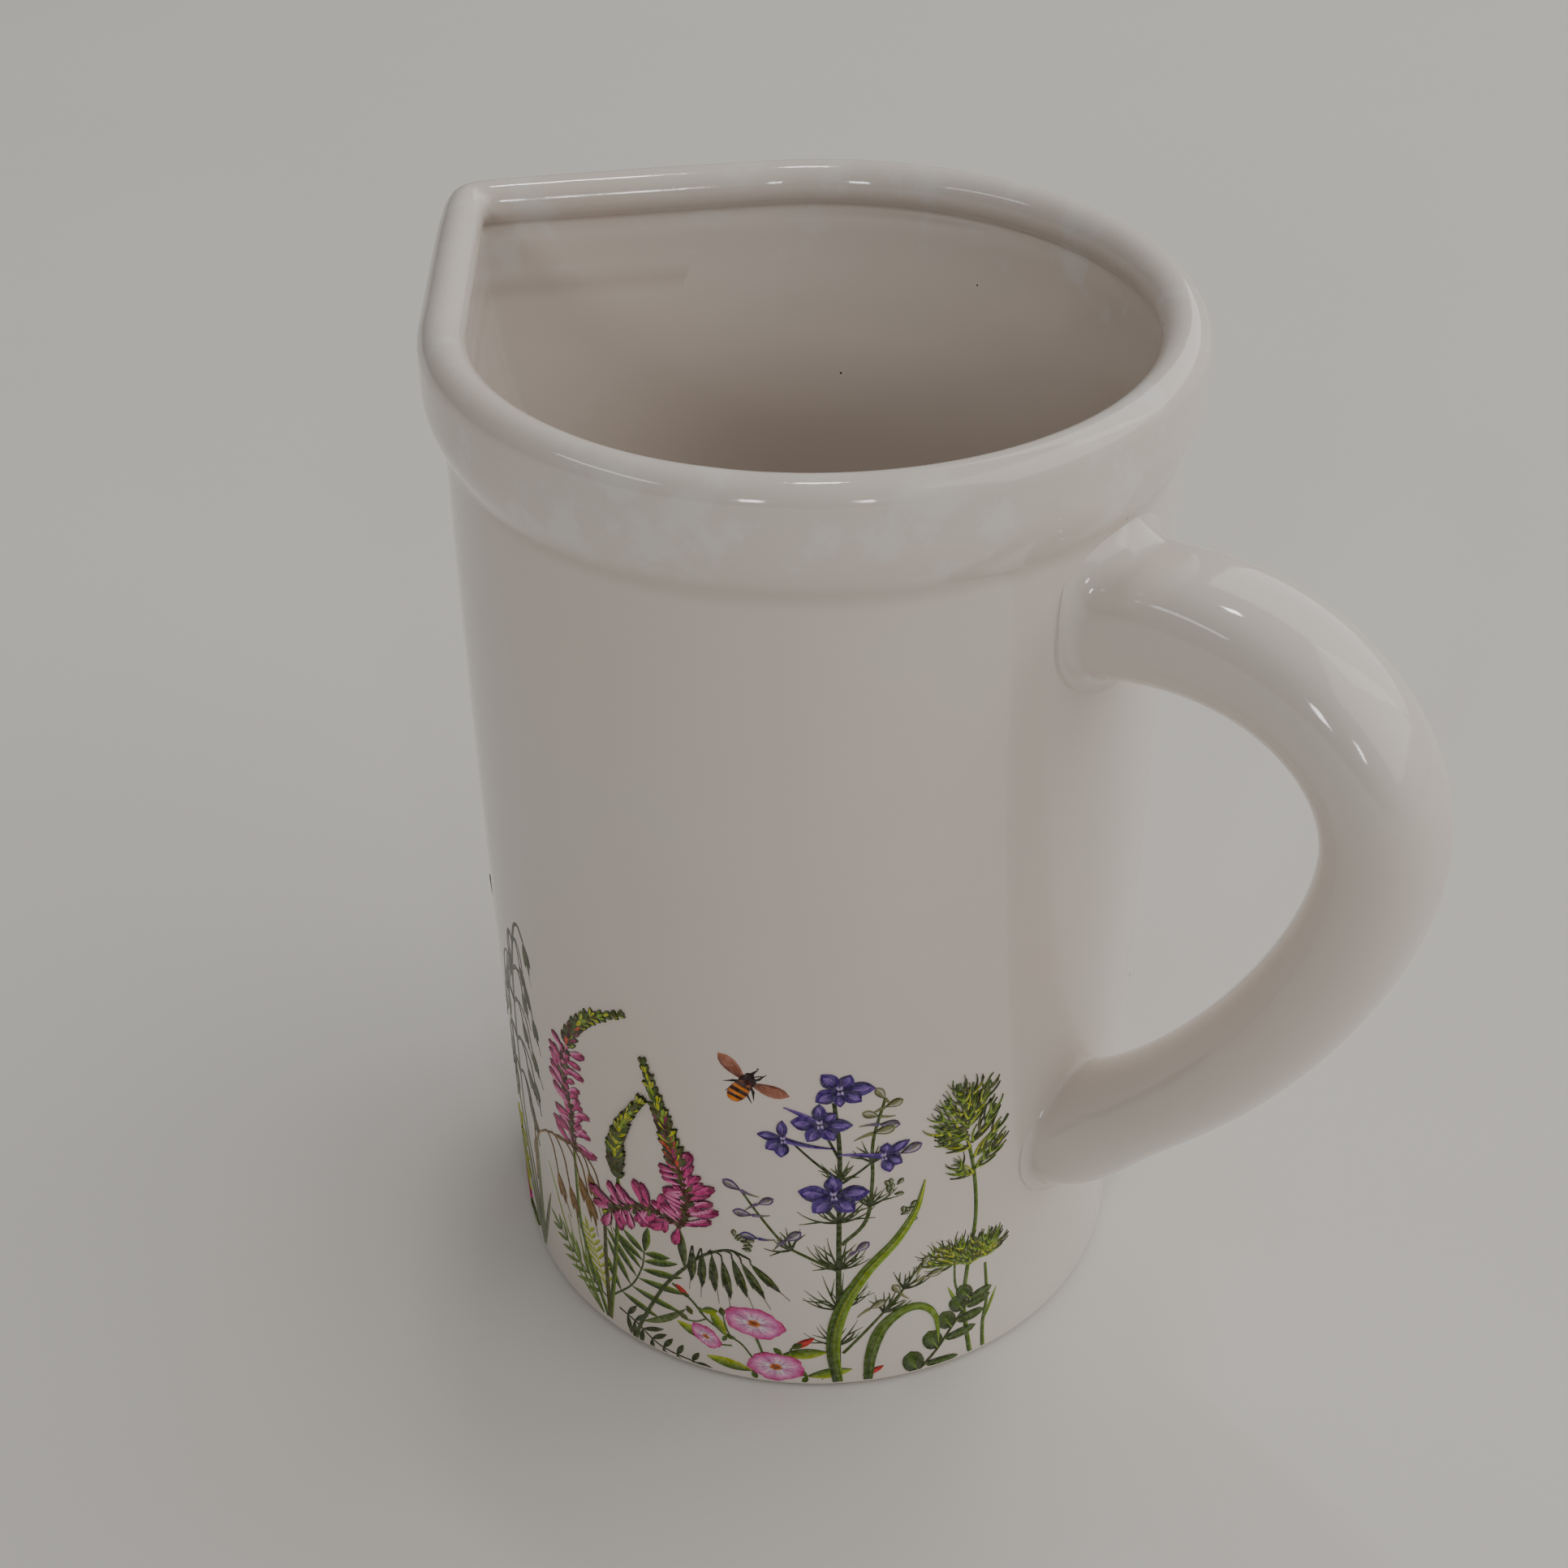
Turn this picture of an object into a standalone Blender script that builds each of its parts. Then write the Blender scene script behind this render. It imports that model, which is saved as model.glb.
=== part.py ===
"""Glazed ceramic pitcher with a pinched spout, a loop handle and printed flower transfers.

Metres, +Z up. The handle points to +X and the spout to -X. The origin is the centre of the
overall box on the table, so the barrel's own axis stands a little towards the spout.
Run with: blender --background --python part.py
"""
import math

import bmesh
import bpy
from mathutils import Vector
from mathutils.geometry import interpolate_bezier

# ---- Driving dimensions (metres, degrees where named) ----
HEIGHT = 0.200            # table to the crest of the rim
BASE_RADIUS = 0.0604      # barrel, outside, at the table
SHOULDER_RADIUS = 0.0635  # barrel, outside, under the rim band
BAND_FOOT = 0.1795        # height where the rim band starts
WALL = 0.005              # thickness of the barrel wall
FLOOR_TOP = 0.010         # height of the inside floor
TABLE_CLEARANCE = 0.0005  # the glaze is wiped back this far above the table
EDGE_RADIUS = 0.0014      # rounding of the barrel's lower outer edge

FOOT_INNER = 0.0515
FOOT_OUTER = 0.0570
FOOT_HEIGHT = 0.0040
FOOT_CHAMFER = 0.0006

LIP_RADIUS = 0.00425      # the rim's rolled crest is a half round of this radius
LIP_CENTRE = 0.0623       # distance of that half round from the axis
BAND_WAIST = 0.0110       # height over which the band swells out of the barrel

SPOUT_HALF_ANGLE = math.radians(41.8)  # the rim leaves its circle this far from the spout
SPOUT_NOSE_OUTSIDE = 0.050             # rounding of the spout's nose, radians, outside
SPOUT_NOSE_INSIDE = 0.020              # and inside, where the pinch is sharper
SPOUT_ROOT = 0.118                     # the wall starts to swell towards the spout here

HANDLE_TOP = (0.0570, 0.1610)          # radius from the barrel's axis, height
HANDLE_TOP_PULL = (0.0345, 0.0132)     # how far the path runs on from there before it bends
HANDLE_APEX = (0.1153, 0.1366)
HANDLE_APEX_PULLS = (0.0222, 0.0280)   # above and below the apex, both vertical
HANDLE_END = (0.0570, 0.0491)
HANDLE_END_PULL = (0.0257, 0.0115)
HANDLE_HALF_WIDTH = 0.0114             # half axes of the handle's oval at the apex
HANDLE_HALF_DEPTH = 0.0101
HANDLE_TOP_SCALE = 1.13                # the oval grows towards the rim
HANDLE_END_SCALE = 0.93                # and thins towards the lower end
FLARE_SCALE = 0.20                     # extra size where the slip spreads on the barrel
FLARE_REACH = 0.0034                   # distance over which that spread dies away
JOINT_LENGTH = 0.0050                  # length of each luted joint outside the barrel

TRANSFER_THICKNESS = 0.0003
TRANSFER_BOTTOM = 0.0035
SPRAY_TOP = 0.0910                     # tallest stems of the printed flowers
SPRAY_DIP = 0.0705                     # the flowers' upper edge under the bee
SPRAY_NEAR_HANDLE = 15.0               # degrees from the handle where the print starts
SPRAY_NEAR_SPOUT = 172.0
BEE_AZIMUTH = 61.5
BEE_HALF_ANGLE = 7.0
BEE_BOTTOM = 0.0722
BEE_TOP = 0.0890
DIP_HALF_ANGLE = 8.5
DIP_RAMP = 4.0

GAP = 0.0003              # clearance between pieces that touch
TURNING_STEPS = 72
CROWDING = 0.55           # draws the facets together at the spout

HANDLE_REACH = HANDLE_APEX[0] + HANDLE_HALF_DEPTH
SPOUT_REACH = (LIP_CENTRE + LIP_RADIUS) / math.cos(SPOUT_HALF_ANGLE - SPOUT_NOSE_OUTSIDE)
AXIS_X = (SPOUT_REACH - HANDLE_REACH) / 2  # puts the origin midway between nose and handle

# ---- Scene, materials and small helpers ----


def clear_scene():
    for obj in list(bpy.data.objects):
        bpy.data.objects.remove(obj, do_unlink=True)


def new_collection(name):
    collection = bpy.data.collections.new(name)
    bpy.context.scene.collection.children.link(collection)
    return collection


def ceramic(name, colour, roughness):
    material = bpy.data.materials.new(name)
    material.use_nodes = True
    shader = material.node_tree.nodes["Principled BSDF"]
    shader.inputs["Base Color"].default_value = (*colour, 1.0)
    shader.inputs["Roughness"].default_value = roughness
    shader.inputs["Metallic"].default_value = 0.0
    return material


def smooth_step(t):
    t = min(max(t, 0.0), 1.0)
    return t * t * (3.0 - 2.0 * t)


def place(name, mesh, material):
    """Link a finished mesh as one named sub-part that stands on the barrel's axis."""
    mesh.name = name
    mesh.materials.clear()
    if material:
        mesh.materials.append(material)
    mesh.shade_smooth()
    mesh.set_sharp_from_angle(angle=math.radians(40))
    obj = bpy.data.objects.new(name, mesh)
    PARTS.objects.link(obj)
    obj.parent = BARREL_AXIS
    return obj


def as_cutter(obj):
    PARTS.objects.unlink(obj)
    CUTTERS.objects.link(obj)
    obj.hide_render = True
    obj.display_type = "WIRE"
    return obj


def evaluated_mesh(obj):
    """The object's shape after its modifiers, as a mesh of its own; the object goes away."""
    depsgraph = bpy.context.evaluated_depsgraph_get()
    mesh = bpy.data.meshes.new_from_object(obj.evaluated_get(depsgraph))
    bpy.data.objects.remove(obj, do_unlink=True)
    return mesh


def boolean(obj, cutter, operation):
    modifier = obj.modifiers.new(operation.title() + "_" + cutter.name, "BOOLEAN")
    modifier.operation = operation
    modifier.object = cutter
    modifier.solver = "EXACT"


# ---- The barrel's outline, which every other piece follows ----


def barrel_radius(z):
    """Outer radius at height z: widest under the rim band, drawn in towards the foot."""
    t = min(max(z / BAND_FOOT, 0.0), 1.0)
    return SHOULDER_RADIUS - (SHOULDER_RADIUS - BASE_RADIUS) * (1.0 - t) ** 2


def arc(centre_r, centre_z, radius, start_deg, end_deg, count):
    """Points (r, z) on an arc; 0 degrees points away from the axis and 90 points up."""
    points = []
    for i in range(count + 1):
        angle = math.radians(start_deg + (end_deg - start_deg) * i / count)
        points.append((centre_r + radius * math.cos(angle), centre_z + radius * math.sin(angle)))
    return points


def turn(name, outline, closed=True, steps=TURNING_STEPS):
    """Turn an (r, z) outline about the Z axis; it runs down outside and up inside."""
    mesh = bpy.data.meshes.new(name + "_outline")
    count = len(outline)
    edges = [(i, (i + 1) % count) for i in range(count if closed else count - 1)]
    mesh.from_pydata([(r, 0.0, z) for r, z in outline], edges, [])
    obj = bpy.data.objects.new(name + "_outline", mesh)
    PARTS.objects.link(obj)
    screw = obj.modifiers.new("Turn", "SCREW")
    screw.steps = steps
    screw.render_steps = steps
    screw.use_merge_vertices = True
    screw.merge_threshold = 0.00001
    return evaluated_mesh(obj)


def pull_spout(mesh, inner_radius, outer_radius):
    """Draw the turned clay out into the spout, as two flat flanks that meet at a nose."""
    for vertex in mesh.vertices:
        x, y, z = vertex.co
        radius = math.hypot(x, y)
        angle = math.atan2(y, -x)
        angle -= CROWDING * math.sin(angle)
        depth = min(max((radius - inner_radius) / (outer_radius - inner_radius), 0.0), 1.0)
        nose = SPOUT_NOSE_INSIDE + (SPOUT_NOSE_OUTSIDE - SPOUT_NOSE_INSIDE) * depth
        off_nose = min(math.hypot(angle, nose), SPOUT_HALF_ANGLE)
        pull = 1.0 / math.cos(SPOUT_HALF_ANGLE - off_nose) - 1.0
        pull *= smooth_step((z - SPOUT_ROOT) / (BAND_FOOT - SPOUT_ROOT))
        radius *= 1.0 + pull
        vertex.co = (-radius * math.cos(angle), radius * math.sin(angle), z)
    return mesh


# ---- Body: wall, floor, foot and rim ----


def barrel_heights():
    """Levels up the wall: a few on the plain barrel, more where the spout swells."""
    plain_levels = [0.018, 0.042, 0.076]
    top = BAND_FOOT - GAP
    swell_count = 6
    swell_levels = [SPOUT_ROOT + (top - SPOUT_ROOT) * i / swell_count for i in range(swell_count + 1)]
    return plain_levels + swell_levels


def build_barrel_wall(material):
    heights = barrel_heights()
    edge_r = barrel_radius(TABLE_CLEARANCE) - EDGE_RADIUS
    edge_z = TABLE_CLEARANCE + EDGE_RADIUS
    rebate = FOOT_OUTER + GAP
    outside = [(barrel_radius(z), z) for z in reversed(heights)]
    lower_edge = arc(edge_r, edge_z, EDGE_RADIUS, 0, -90, 3)
    foot_seat = [(rebate, TABLE_CLEARANCE), (rebate, FOOT_HEIGHT + GAP)]
    foot_seat.append((BASE_RADIUS - WALL, FOOT_HEIGHT + GAP))
    inside = [(barrel_radius(z) - WALL, z) for z in heights]
    mesh = turn("barrel_wall", outside + lower_edge + foot_seat + inside)
    pull_spout(mesh, SHOULDER_RADIUS - WALL, SHOULDER_RADIUS)
    return place("barrel_wall", mesh, material)


def build_floor_disc(material):
    edge = BASE_RADIUS - WALL - GAP
    underside = FOOT_HEIGHT + GAP
    recess_r = FOOT_INNER - 0.002
    recess_z = underside + 0.0012
    outline = [(0.0, FLOOR_TOP), (edge, FLOOR_TOP), (edge, underside), (recess_r, underside)]
    outline += [(recess_r - 0.0015, recess_z), (0.0, recess_z)]
    mesh = turn("floor_disc", outline, closed=False, steps=TURNING_STEPS // 2)
    return place("floor_disc", mesh, material)


def build_foot_ring(material):
    outline = [(FOOT_INNER, FOOT_HEIGHT), (FOOT_OUTER, FOOT_HEIGHT)]
    outline += [(FOOT_OUTER, FOOT_CHAMFER), (FOOT_OUTER - FOOT_CHAMFER, 0.0)]
    outline += [(FOOT_INNER + FOOT_CHAMFER, 0.0), (FOOT_INNER, FOOT_CHAMFER)]
    mesh = turn("foot_ring", outline, steps=TURNING_STEPS // 2)
    return place("foot_ring", mesh, material)


def build_rim_band(material):
    """The thick band: it swells out of the barrel and rolls over into a half-round crest."""
    crest_z = HEIGHT - LIP_RADIUS
    band_radius = LIP_CENTRE + LIP_RADIUS
    swell_count = 4
    crest = arc(LIP_CENTRE, crest_z, LIP_RADIUS, 90, 0, 3)
    swell = []
    for i in range(swell_count + 1):
        t = 1.0 - i / swell_count
        radius = SHOULDER_RADIUS + (band_radius - SHOULDER_RADIUS) * smooth_step(t)
        swell.append((radius, BAND_FOOT + BAND_WAIST * t))
    inner = SHOULDER_RADIUS - WALL
    inside = [(inner, BAND_FOOT), (inner, BAND_FOOT + 0.0075), (inner - 0.0003, crest_z - 0.0035)]
    inner_crest = arc(LIP_CENTRE, crest_z, LIP_RADIUS, 180, 90, 3)[:-1]
    mesh = turn("rim_band", crest + swell + inside + inner_crest)
    pull_spout(mesh, LIP_CENTRE - LIP_RADIUS, band_radius)
    return place("rim_band", mesh, material)


# ---- Handle and its two luted joints ----


def handle_path():
    """The loop's centre line, as points and sizes, from two Bezier stretches."""
    top, apex, end = (Vector((r, 0.0, z)) for r, z in (HANDLE_TOP, HANDLE_APEX, HANDLE_END))
    top_pull = top + Vector((HANDLE_TOP_PULL[0], 0.0, HANDLE_TOP_PULL[1]))
    end_pull = end + Vector((HANDLE_END_PULL[0], 0.0, HANDLE_END_PULL[1]))
    above = apex + Vector((0.0, 0.0, HANDLE_APEX_PULLS[0]))
    below = apex - Vector((0.0, 0.0, HANDLE_APEX_PULLS[1]))
    upper = interpolate_bezier(top, top_pull, above, apex, 18)
    lower = interpolate_bezier(apex, below, end_pull, end, 22)[1:]
    sizes = [taper(HANDLE_TOP_SCALE, i / (len(upper) - 1)) for i in range(len(upper))]
    sizes += [taper(HANDLE_END_SCALE, 1.0 - (i + 1) / len(lower)) for i in range(len(lower))]
    points = upper + lower
    return points, [size + flare(point) for point, size in zip(points, sizes)]


def taper(end_scale, t):
    """Size of the oval between an end (t = 0) and the apex (t = 1)."""
    return end_scale + (1.0 - end_scale) * smooth_step(t)


def flare(point):
    """Extra size near the barrel, where the joint's slip spreads on the wall."""
    off_wall = max(point.x - barrel_radius(point.z), 0.0)
    return FLARE_SCALE * math.exp(-(off_wall / FLARE_REACH) ** 2)


def handle_section():
    """Oval guide outline for the handle, wide across and shallow in its own plane."""
    sides = 16
    curve = bpy.data.curves.new("handle_section", "CURVE")
    spline = curve.splines.new("POLY")
    spline.points.add(sides - 1)
    for i, point in enumerate(spline.points):
        angle = 2.0 * math.pi * i / sides
        point.co = (HANDLE_HALF_WIDTH * math.cos(angle), HANDLE_HALF_DEPTH * math.sin(angle), 0, 1)
    spline.use_cyclic_u = True
    obj = bpy.data.objects.new("handle_section", curve)
    CUTTERS.objects.link(obj)
    obj.hide_render = True
    return obj


def handle_mesh():
    """The whole loop, running into the barrel at both ends, as one closed mesh."""
    points, sizes = handle_path()
    curve = bpy.data.curves.new("handle_path", "CURVE")
    curve.dimensions = "3D"
    curve.bevel_mode = "OBJECT"
    curve.bevel_object = handle_section()
    curve.use_fill_caps = True
    spline = curve.splines.new("POLY")
    spline.points.add(len(points) - 1)
    for target, point, size in zip(spline.points, points, sizes):
        target.co = (*point, 1.0)
        target.radius = size
    obj = bpy.data.objects.new("handle_path", curve)
    PARTS.objects.link(obj)
    mesh = evaluated_mesh(obj)
    work = bmesh.new()
    work.from_mesh(mesh)
    bmesh.ops.remove_doubles(work, verts=work.verts, dist=0.00001)
    bmesh.ops.recalc_face_normals(work, faces=work.faces)
    work.to_mesh(mesh)
    work.free()
    return mesh


def barrel_sleeve(name, outer_offset, inner_offset, bottom, top):
    """Cutter between two offsets from the barrel's outside; no inner offset makes it solid."""
    count = 6
    heights = [bottom + (top - bottom) * i / count for i in range(count + 1)]
    outline = [(barrel_radius(z) + outer_offset, z) for z in reversed(heights)]
    if inner_offset is None:
        outline = [(0.0, top)] + outline + [(0.0, bottom)]
    else:
        outline += [(barrel_radius(z) + inner_offset, z) for z in heights]
    closed = inner_offset is not None
    return as_cutter(place(name, turn(name, outline, closed), None))


def build_handle(material):
    clearance = barrel_sleeve("handle_cutter", JOINT_LENGTH + GAP, None, 0.02, 0.19)
    handle = place("handle", handle_mesh(), material)
    boolean(handle, clearance, "DIFFERENCE")
    return handle


def build_handle_joint(name, bottom, top, material):
    zone = barrel_sleeve(name + "_zone", JOINT_LENGTH, GAP, bottom, top)
    joint = place(name, handle_mesh(), material)
    boolean(joint, zone, "INTERSECT")
    return joint


# ---- Printed transfers ----


def spray_top(azimuth):
    """Upper edge of the flower print: stems stand tall, and dip under the bee."""
    off_bee = abs(azimuth - BEE_AZIMUTH) - DIP_HALF_ANGLE
    return SPRAY_DIP + (SPRAY_TOP - SPRAY_DIP) * smooth_step(off_bee / DIP_RAMP)


def bee_top(_azimuth):
    return BEE_TOP


def build_transfer(name, side, start, end, bottom, top_edge, cells, material):
    """A thin printed sheet on the barrel; side is -1 for the front (-Y) and 1 for the back."""
    mesh = bpy.data.meshes.new(name)
    sheet = bmesh.new()
    columns, rows = cells
    bmesh.ops.create_grid(sheet, x_segments=columns, y_segments=rows, size=1.0)
    for vertex in sheet.verts:
        across = (vertex.co.x + 1.0) / 2.0
        up = (vertex.co.y + 1.0) / 2.0
        azimuth = start + (end - start) * across
        z = bottom + (top_edge(azimuth) - bottom) * up
        radius = barrel_radius(z) + GAP
        angle = math.radians(azimuth) * side
        vertex.co = (radius * math.cos(angle), radius * math.sin(angle), z)
    if side < 0:
        bmesh.ops.reverse_faces(sheet, faces=sheet.faces)
    sheet.to_mesh(mesh)
    sheet.free()
    obj = place(name, mesh, material)
    solidify = obj.modifiers.new("Thickness", "SOLIDIFY")
    solidify.thickness = TRANSFER_THICKNESS
    solidify.offset = 1.0
    return obj


def build_transfers(material):
    bee_span = (BEE_AZIMUTH - BEE_HALF_ANGLE, BEE_AZIMUTH + BEE_HALF_ANGLE)
    for name, side in (("front", -1), ("back", 1)):
        build_transfer("flower_transfer_" + name, side, SPRAY_NEAR_HANDLE, SPRAY_NEAR_SPOUT,
                       TRANSFER_BOTTOM, spray_top, (40, 3), material)
        build_transfer("bee_transfer_" + name, side, *bee_span, BEE_BOTTOM, bee_top, (5, 1), material)


# ---- Assembly ----

clear_scene()
PARTS = new_collection("ceramic_pitcher")
CUTTERS = new_collection("cutters_and_guides")
BARREL_AXIS = bpy.data.objects.new("barrel_axis", None)
BARREL_AXIS.location = (AXIS_X, 0.0, 0.0)
PARTS.objects.link(BARREL_AXIS)

GLAZE = ceramic("white_glaze", (0.80, 0.79, 0.76), 0.12)
BARE_CLAY = ceramic("bare_clay", (0.74, 0.70, 0.63), 0.85)
PRINT = ceramic("printed_transfer", (0.36, 0.40, 0.22), 0.15)

build_barrel_wall(GLAZE)
build_floor_disc(GLAZE)
build_foot_ring(BARE_CLAY)
build_rim_band(GLAZE)
build_handle(GLAZE)
build_handle_joint("upper_handle_joint", 0.130, 0.185, GLAZE)
build_handle_joint("lower_handle_joint", 0.020, 0.085, GLAZE)
build_transfers(PRINT)
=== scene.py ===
"""Looks of the ceramic pitcher: its glossy cast body, loop handle, bare foot and printed wild flowers.

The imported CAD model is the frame. The body, the handle and the foot are made here as fine smooth
meshes on the CAD outlines, and the flower transfers become separate pieces of printed ink.
Metres, +Z up, handle towards +X. The flowers are drawn in millimetres: across is measured round the
barrel from the middle of the handle, to the right as seen from outside, and up from the table.
"""

import random
from math import atan2, copysign, cos, degrees, hypot, pi, radians, sin, sqrt

import bmesh
import bpy
import numpy as np
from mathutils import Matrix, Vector, noise
from mathutils.geometry import interpolate_bezier


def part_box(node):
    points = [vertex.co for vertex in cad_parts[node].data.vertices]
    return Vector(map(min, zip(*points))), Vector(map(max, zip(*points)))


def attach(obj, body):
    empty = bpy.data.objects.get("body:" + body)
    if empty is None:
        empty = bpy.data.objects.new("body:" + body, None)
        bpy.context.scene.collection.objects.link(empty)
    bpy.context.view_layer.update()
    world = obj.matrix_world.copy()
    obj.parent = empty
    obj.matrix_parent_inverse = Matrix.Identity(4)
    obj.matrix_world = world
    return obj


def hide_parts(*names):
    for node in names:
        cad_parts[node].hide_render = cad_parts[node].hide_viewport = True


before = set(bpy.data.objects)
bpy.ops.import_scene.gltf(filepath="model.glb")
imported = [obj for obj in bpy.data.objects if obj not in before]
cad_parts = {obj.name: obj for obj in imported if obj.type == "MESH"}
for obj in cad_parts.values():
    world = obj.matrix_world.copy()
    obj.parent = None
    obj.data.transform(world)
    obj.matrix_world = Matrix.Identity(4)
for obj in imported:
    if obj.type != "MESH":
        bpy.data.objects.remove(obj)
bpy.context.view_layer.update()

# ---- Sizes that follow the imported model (metres) ----
FOOT_LOW, FOOT_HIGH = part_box("foot_ring")
RIM_LOW, RIM_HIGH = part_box("rim_band")
AXIS_X = (FOOT_LOW.x + FOOT_HIGH.x) / 2    # the barrel's own axis
HEIGHT = RIM_HIGH.z
FOOT_OUTER = FOOT_HIGH.y
BAND_FOOT = RIM_LOW.z
FLOOR_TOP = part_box("floor_disc")[1].z

# ---- The body's outline ----
BASE_RADIUS = 0.0604       # outside, at the table
SHOULDER_RADIUS = 0.0635   # outside, under the rim band
WALL = 0.005
TABLE_CLEARANCE = 0.0005
EDGE_RADIUS = 0.0014
FLOOR_COVE = 0.007
LIP_RADIUS = 0.00425       # of the rim's rolled crest
LIP_CENTRE = 0.0623        # distance of that roll's middle from the axis
LIP_TUCK = 50.0            # degrees that the rolled lip turns on under itself, inside
BAND_WAIST = 0.0110        # height over which the band swells out of the barrel
BAND_FULLNESS = 2.6        # higher makes the band roll out rounder
BAND_CREASE = 1.25         # higher makes the hollow under the band softer
FOOT_INNER = 0.0515
FOOT_BURY = 0.0046         # the bare foot runs this high, just into the body
FOOT_ROUND = 0.0008
SEAM = 0.0001              # the glazed skin ends this far outside the foot's face, then turns inside it
RECESS_ROUND = 0.0016      # where the underside turns from the foot into its flat middle
LIP_BEND_PULLS = ((0.0002, 0.0030), (0.0016, -0.0006))    # of the bend that leads into the tucked edge
HOLLOW_DROP = 0.0045       # the inner wall ends this far below the lip's tucked edge,
HOLLOW_HEIGHT = 0.016      # and eases back to that edge over this height
UNEVEN_FROM = 0.100        # hand finishing shows above this height,
UNEVEN_RISE = 0.080        # grows over this one,
SLOW_DENTS = (42.0, 0.00016)    # and has slow and quick dents: how many per metre, and how deep
QUICK_DENTS = (130.0, 0.00005)

SPOUT_HALF_ANGLE = radians(41.8)    # the rim leaves its circle this far from the spout
SPOUT_NOSE_OUTSIDE = 0.050          # rounding of the spout's nose, in radians
SPOUT_NOSE_INSIDE = 0.012
SPOUT_ROOT = 0.118                  # the wall starts to swell towards the spout at this height
CROWDING = 0.55                     # draws the facets together at the spout
BODY_STEPS = 288

# ---- The handle's centre line and oval ----
HANDLE_TOP = (0.0570, 0.1610)
HANDLE_TOP_PULL = (0.0345, 0.0132)
HANDLE_APEX = (0.1153, 0.1366)
HANDLE_APEX_PULLS = (0.0222, 0.0280)
HANDLE_END = (0.0570, 0.0491)
HANDLE_END_PULL = (0.0257, 0.0115)
HANDLE_HALF_WIDTH = 0.0111
HANDLE_HALF_DEPTH = 0.0098
HANDLE_SQUARENESS = 2.75   # of the outer half at the top; 2 is a true oval, as at the lower end
HANDLE_TOP_SCALE = 1.13
HANDLE_END_SCALE = 0.93
HANDLE_FILLET = 0.0026     # round of slip where the handle meets the barrel
HANDLE_SADDLE = 0.0050     # how much wider that round is over the top of the upper end
HEEL_FILLET = 0.0015       # the round is smaller at the lower end
HEEL_SPREAD = 0.23         # extra size of the oval where the lower end meets the barrel
HEEL_SAG = 0.0017          # how far that end sinks on its way there
HEEL_REACH = 0.010         # distance from the barrel over which both die away
FILLET_STEPS = 10
FILLET_DIP = 0.00003       # the round's edge lies this far inside the barrel's skin
HANDLE_BURY = 0.0020       # how deep the handle's ends run into the wall
HANDLE_RUN_ON = 20         # steps that the centre line runs straight on into the wall
HANDLE_RINGS = 180
HANDLE_RAILS = 72

# ---- The print ----
PRINT_RADIUS = 62.0        # mm: across distances are true on this radius
INK_LIFT = 0.020           # mm above the glaze for the first stroke of a plant
INK_STEP = 0.0006          # mm that each further stroke lies higher, so that it covers the last
INK_SINK = 0.12            # mm that the underside of a stroke lies in the glaze
PLANT_STEP = 0.00013       # mm that each plant lies higher than the one before it
THINNEST = 0.03            # mm: half the width of the finest line
RIM_SHARE = 0.75           # how far a stroke's edges take on their own ink
TINT_SPREAD = 0.12         # each stroke is up to this share lighter or darker than its ink
PRINT_FLOOR = 1.9          # mm: no ink below this, where the body's edge turns under
INK_DEPTH = 1.28           # above 1 makes every ink darker and fuller

# ---- Colours, as linear light ----
GLAZE_WARM = (0.700, 0.622, 0.560)
GLAZE_COOL = (0.705, 0.645, 0.592)
GLAZE_CLOUD = (0.750, 0.750, 0.735)    # thicker, cooler glaze in patches on the rim band
PAINTED_CREASE_SHADE = (0.500, 0.430, 0.375)     # painted shade in the hollow under the band
PINHOLE_BROWN = (0.060, 0.045, 0.035)
PINHOLE_CELL = 0.034                   # metres: at most one pinhole in each patch of this size
PINHOLE_SIZE = 0.0045                  # smallest radius, as a share of the patch; the largest is twice that
PINHOLES_OUTSIDE = 0.06                # share of the patches that have one
PINHOLES_MORE_INSIDE = 0.36
CLAY_DARK = (0.560, 0.500, 0.420)
CLAY_LIGHT = (0.800, 0.745, 0.660)
CLAY_SCUFF = (0.420, 0.400, 0.370)
WASH_DARK = (0.84, 0.84, 0.84)         # the ink is darkened by this where its wash is full
WASH_LIGHT = (1.0, 1.0, 1.0)
GROUND_DARK = (0.72, 0.70, 0.665)
GROUND_LIGHT = (0.76, 0.74, 0.705)
ROOM_LIGHT = (0.92, 0.89, 0.85)

# ---- Small helpers ----


def smooth_step(t):
    t = np.clip(t, 0.0, 1.0)
    return t * t * (3.0 - 2.0 * t)


def barrel_radius(z):
    """Outer radius at height z: widest under the rim band, drawn in towards the foot."""
    t = np.clip(z / BAND_FOOT, 0.0, 1.0)
    return SHOULDER_RADIUS - (SHOULDER_RADIUS - BASE_RADIUS) * (1.0 - t) ** 2


def arc(centre_r, centre_z, radius, start_deg, end_deg, count):
    """Points (r, z) on an arc; 0 degrees points away from the axis and 90 points up."""
    angles = [radians(start_deg + (end_deg - start_deg) * i / count) for i in range(count + 1)]
    return [(centre_r + radius * cos(a), centre_z + radius * sin(a)) for a in angles]


def spaced(start, end, count):
    return [start + (end - start) * i / count for i in range(count + 1)]


def new_piece(name, points, faces, material, sharp_deg=40):
    mesh = bpy.data.meshes.new(name)
    mesh.from_pydata([tuple(p) for p in points], [], faces)
    mesh.materials.append(material)
    mesh.shade_smooth()
    mesh.set_sharp_from_angle(angle=radians(sharp_deg))
    mesh.validate()
    piece = bpy.data.objects.new(name, mesh)
    bpy.context.scene.collection.objects.link(piece)
    return piece


# ---- Materials ----


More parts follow.
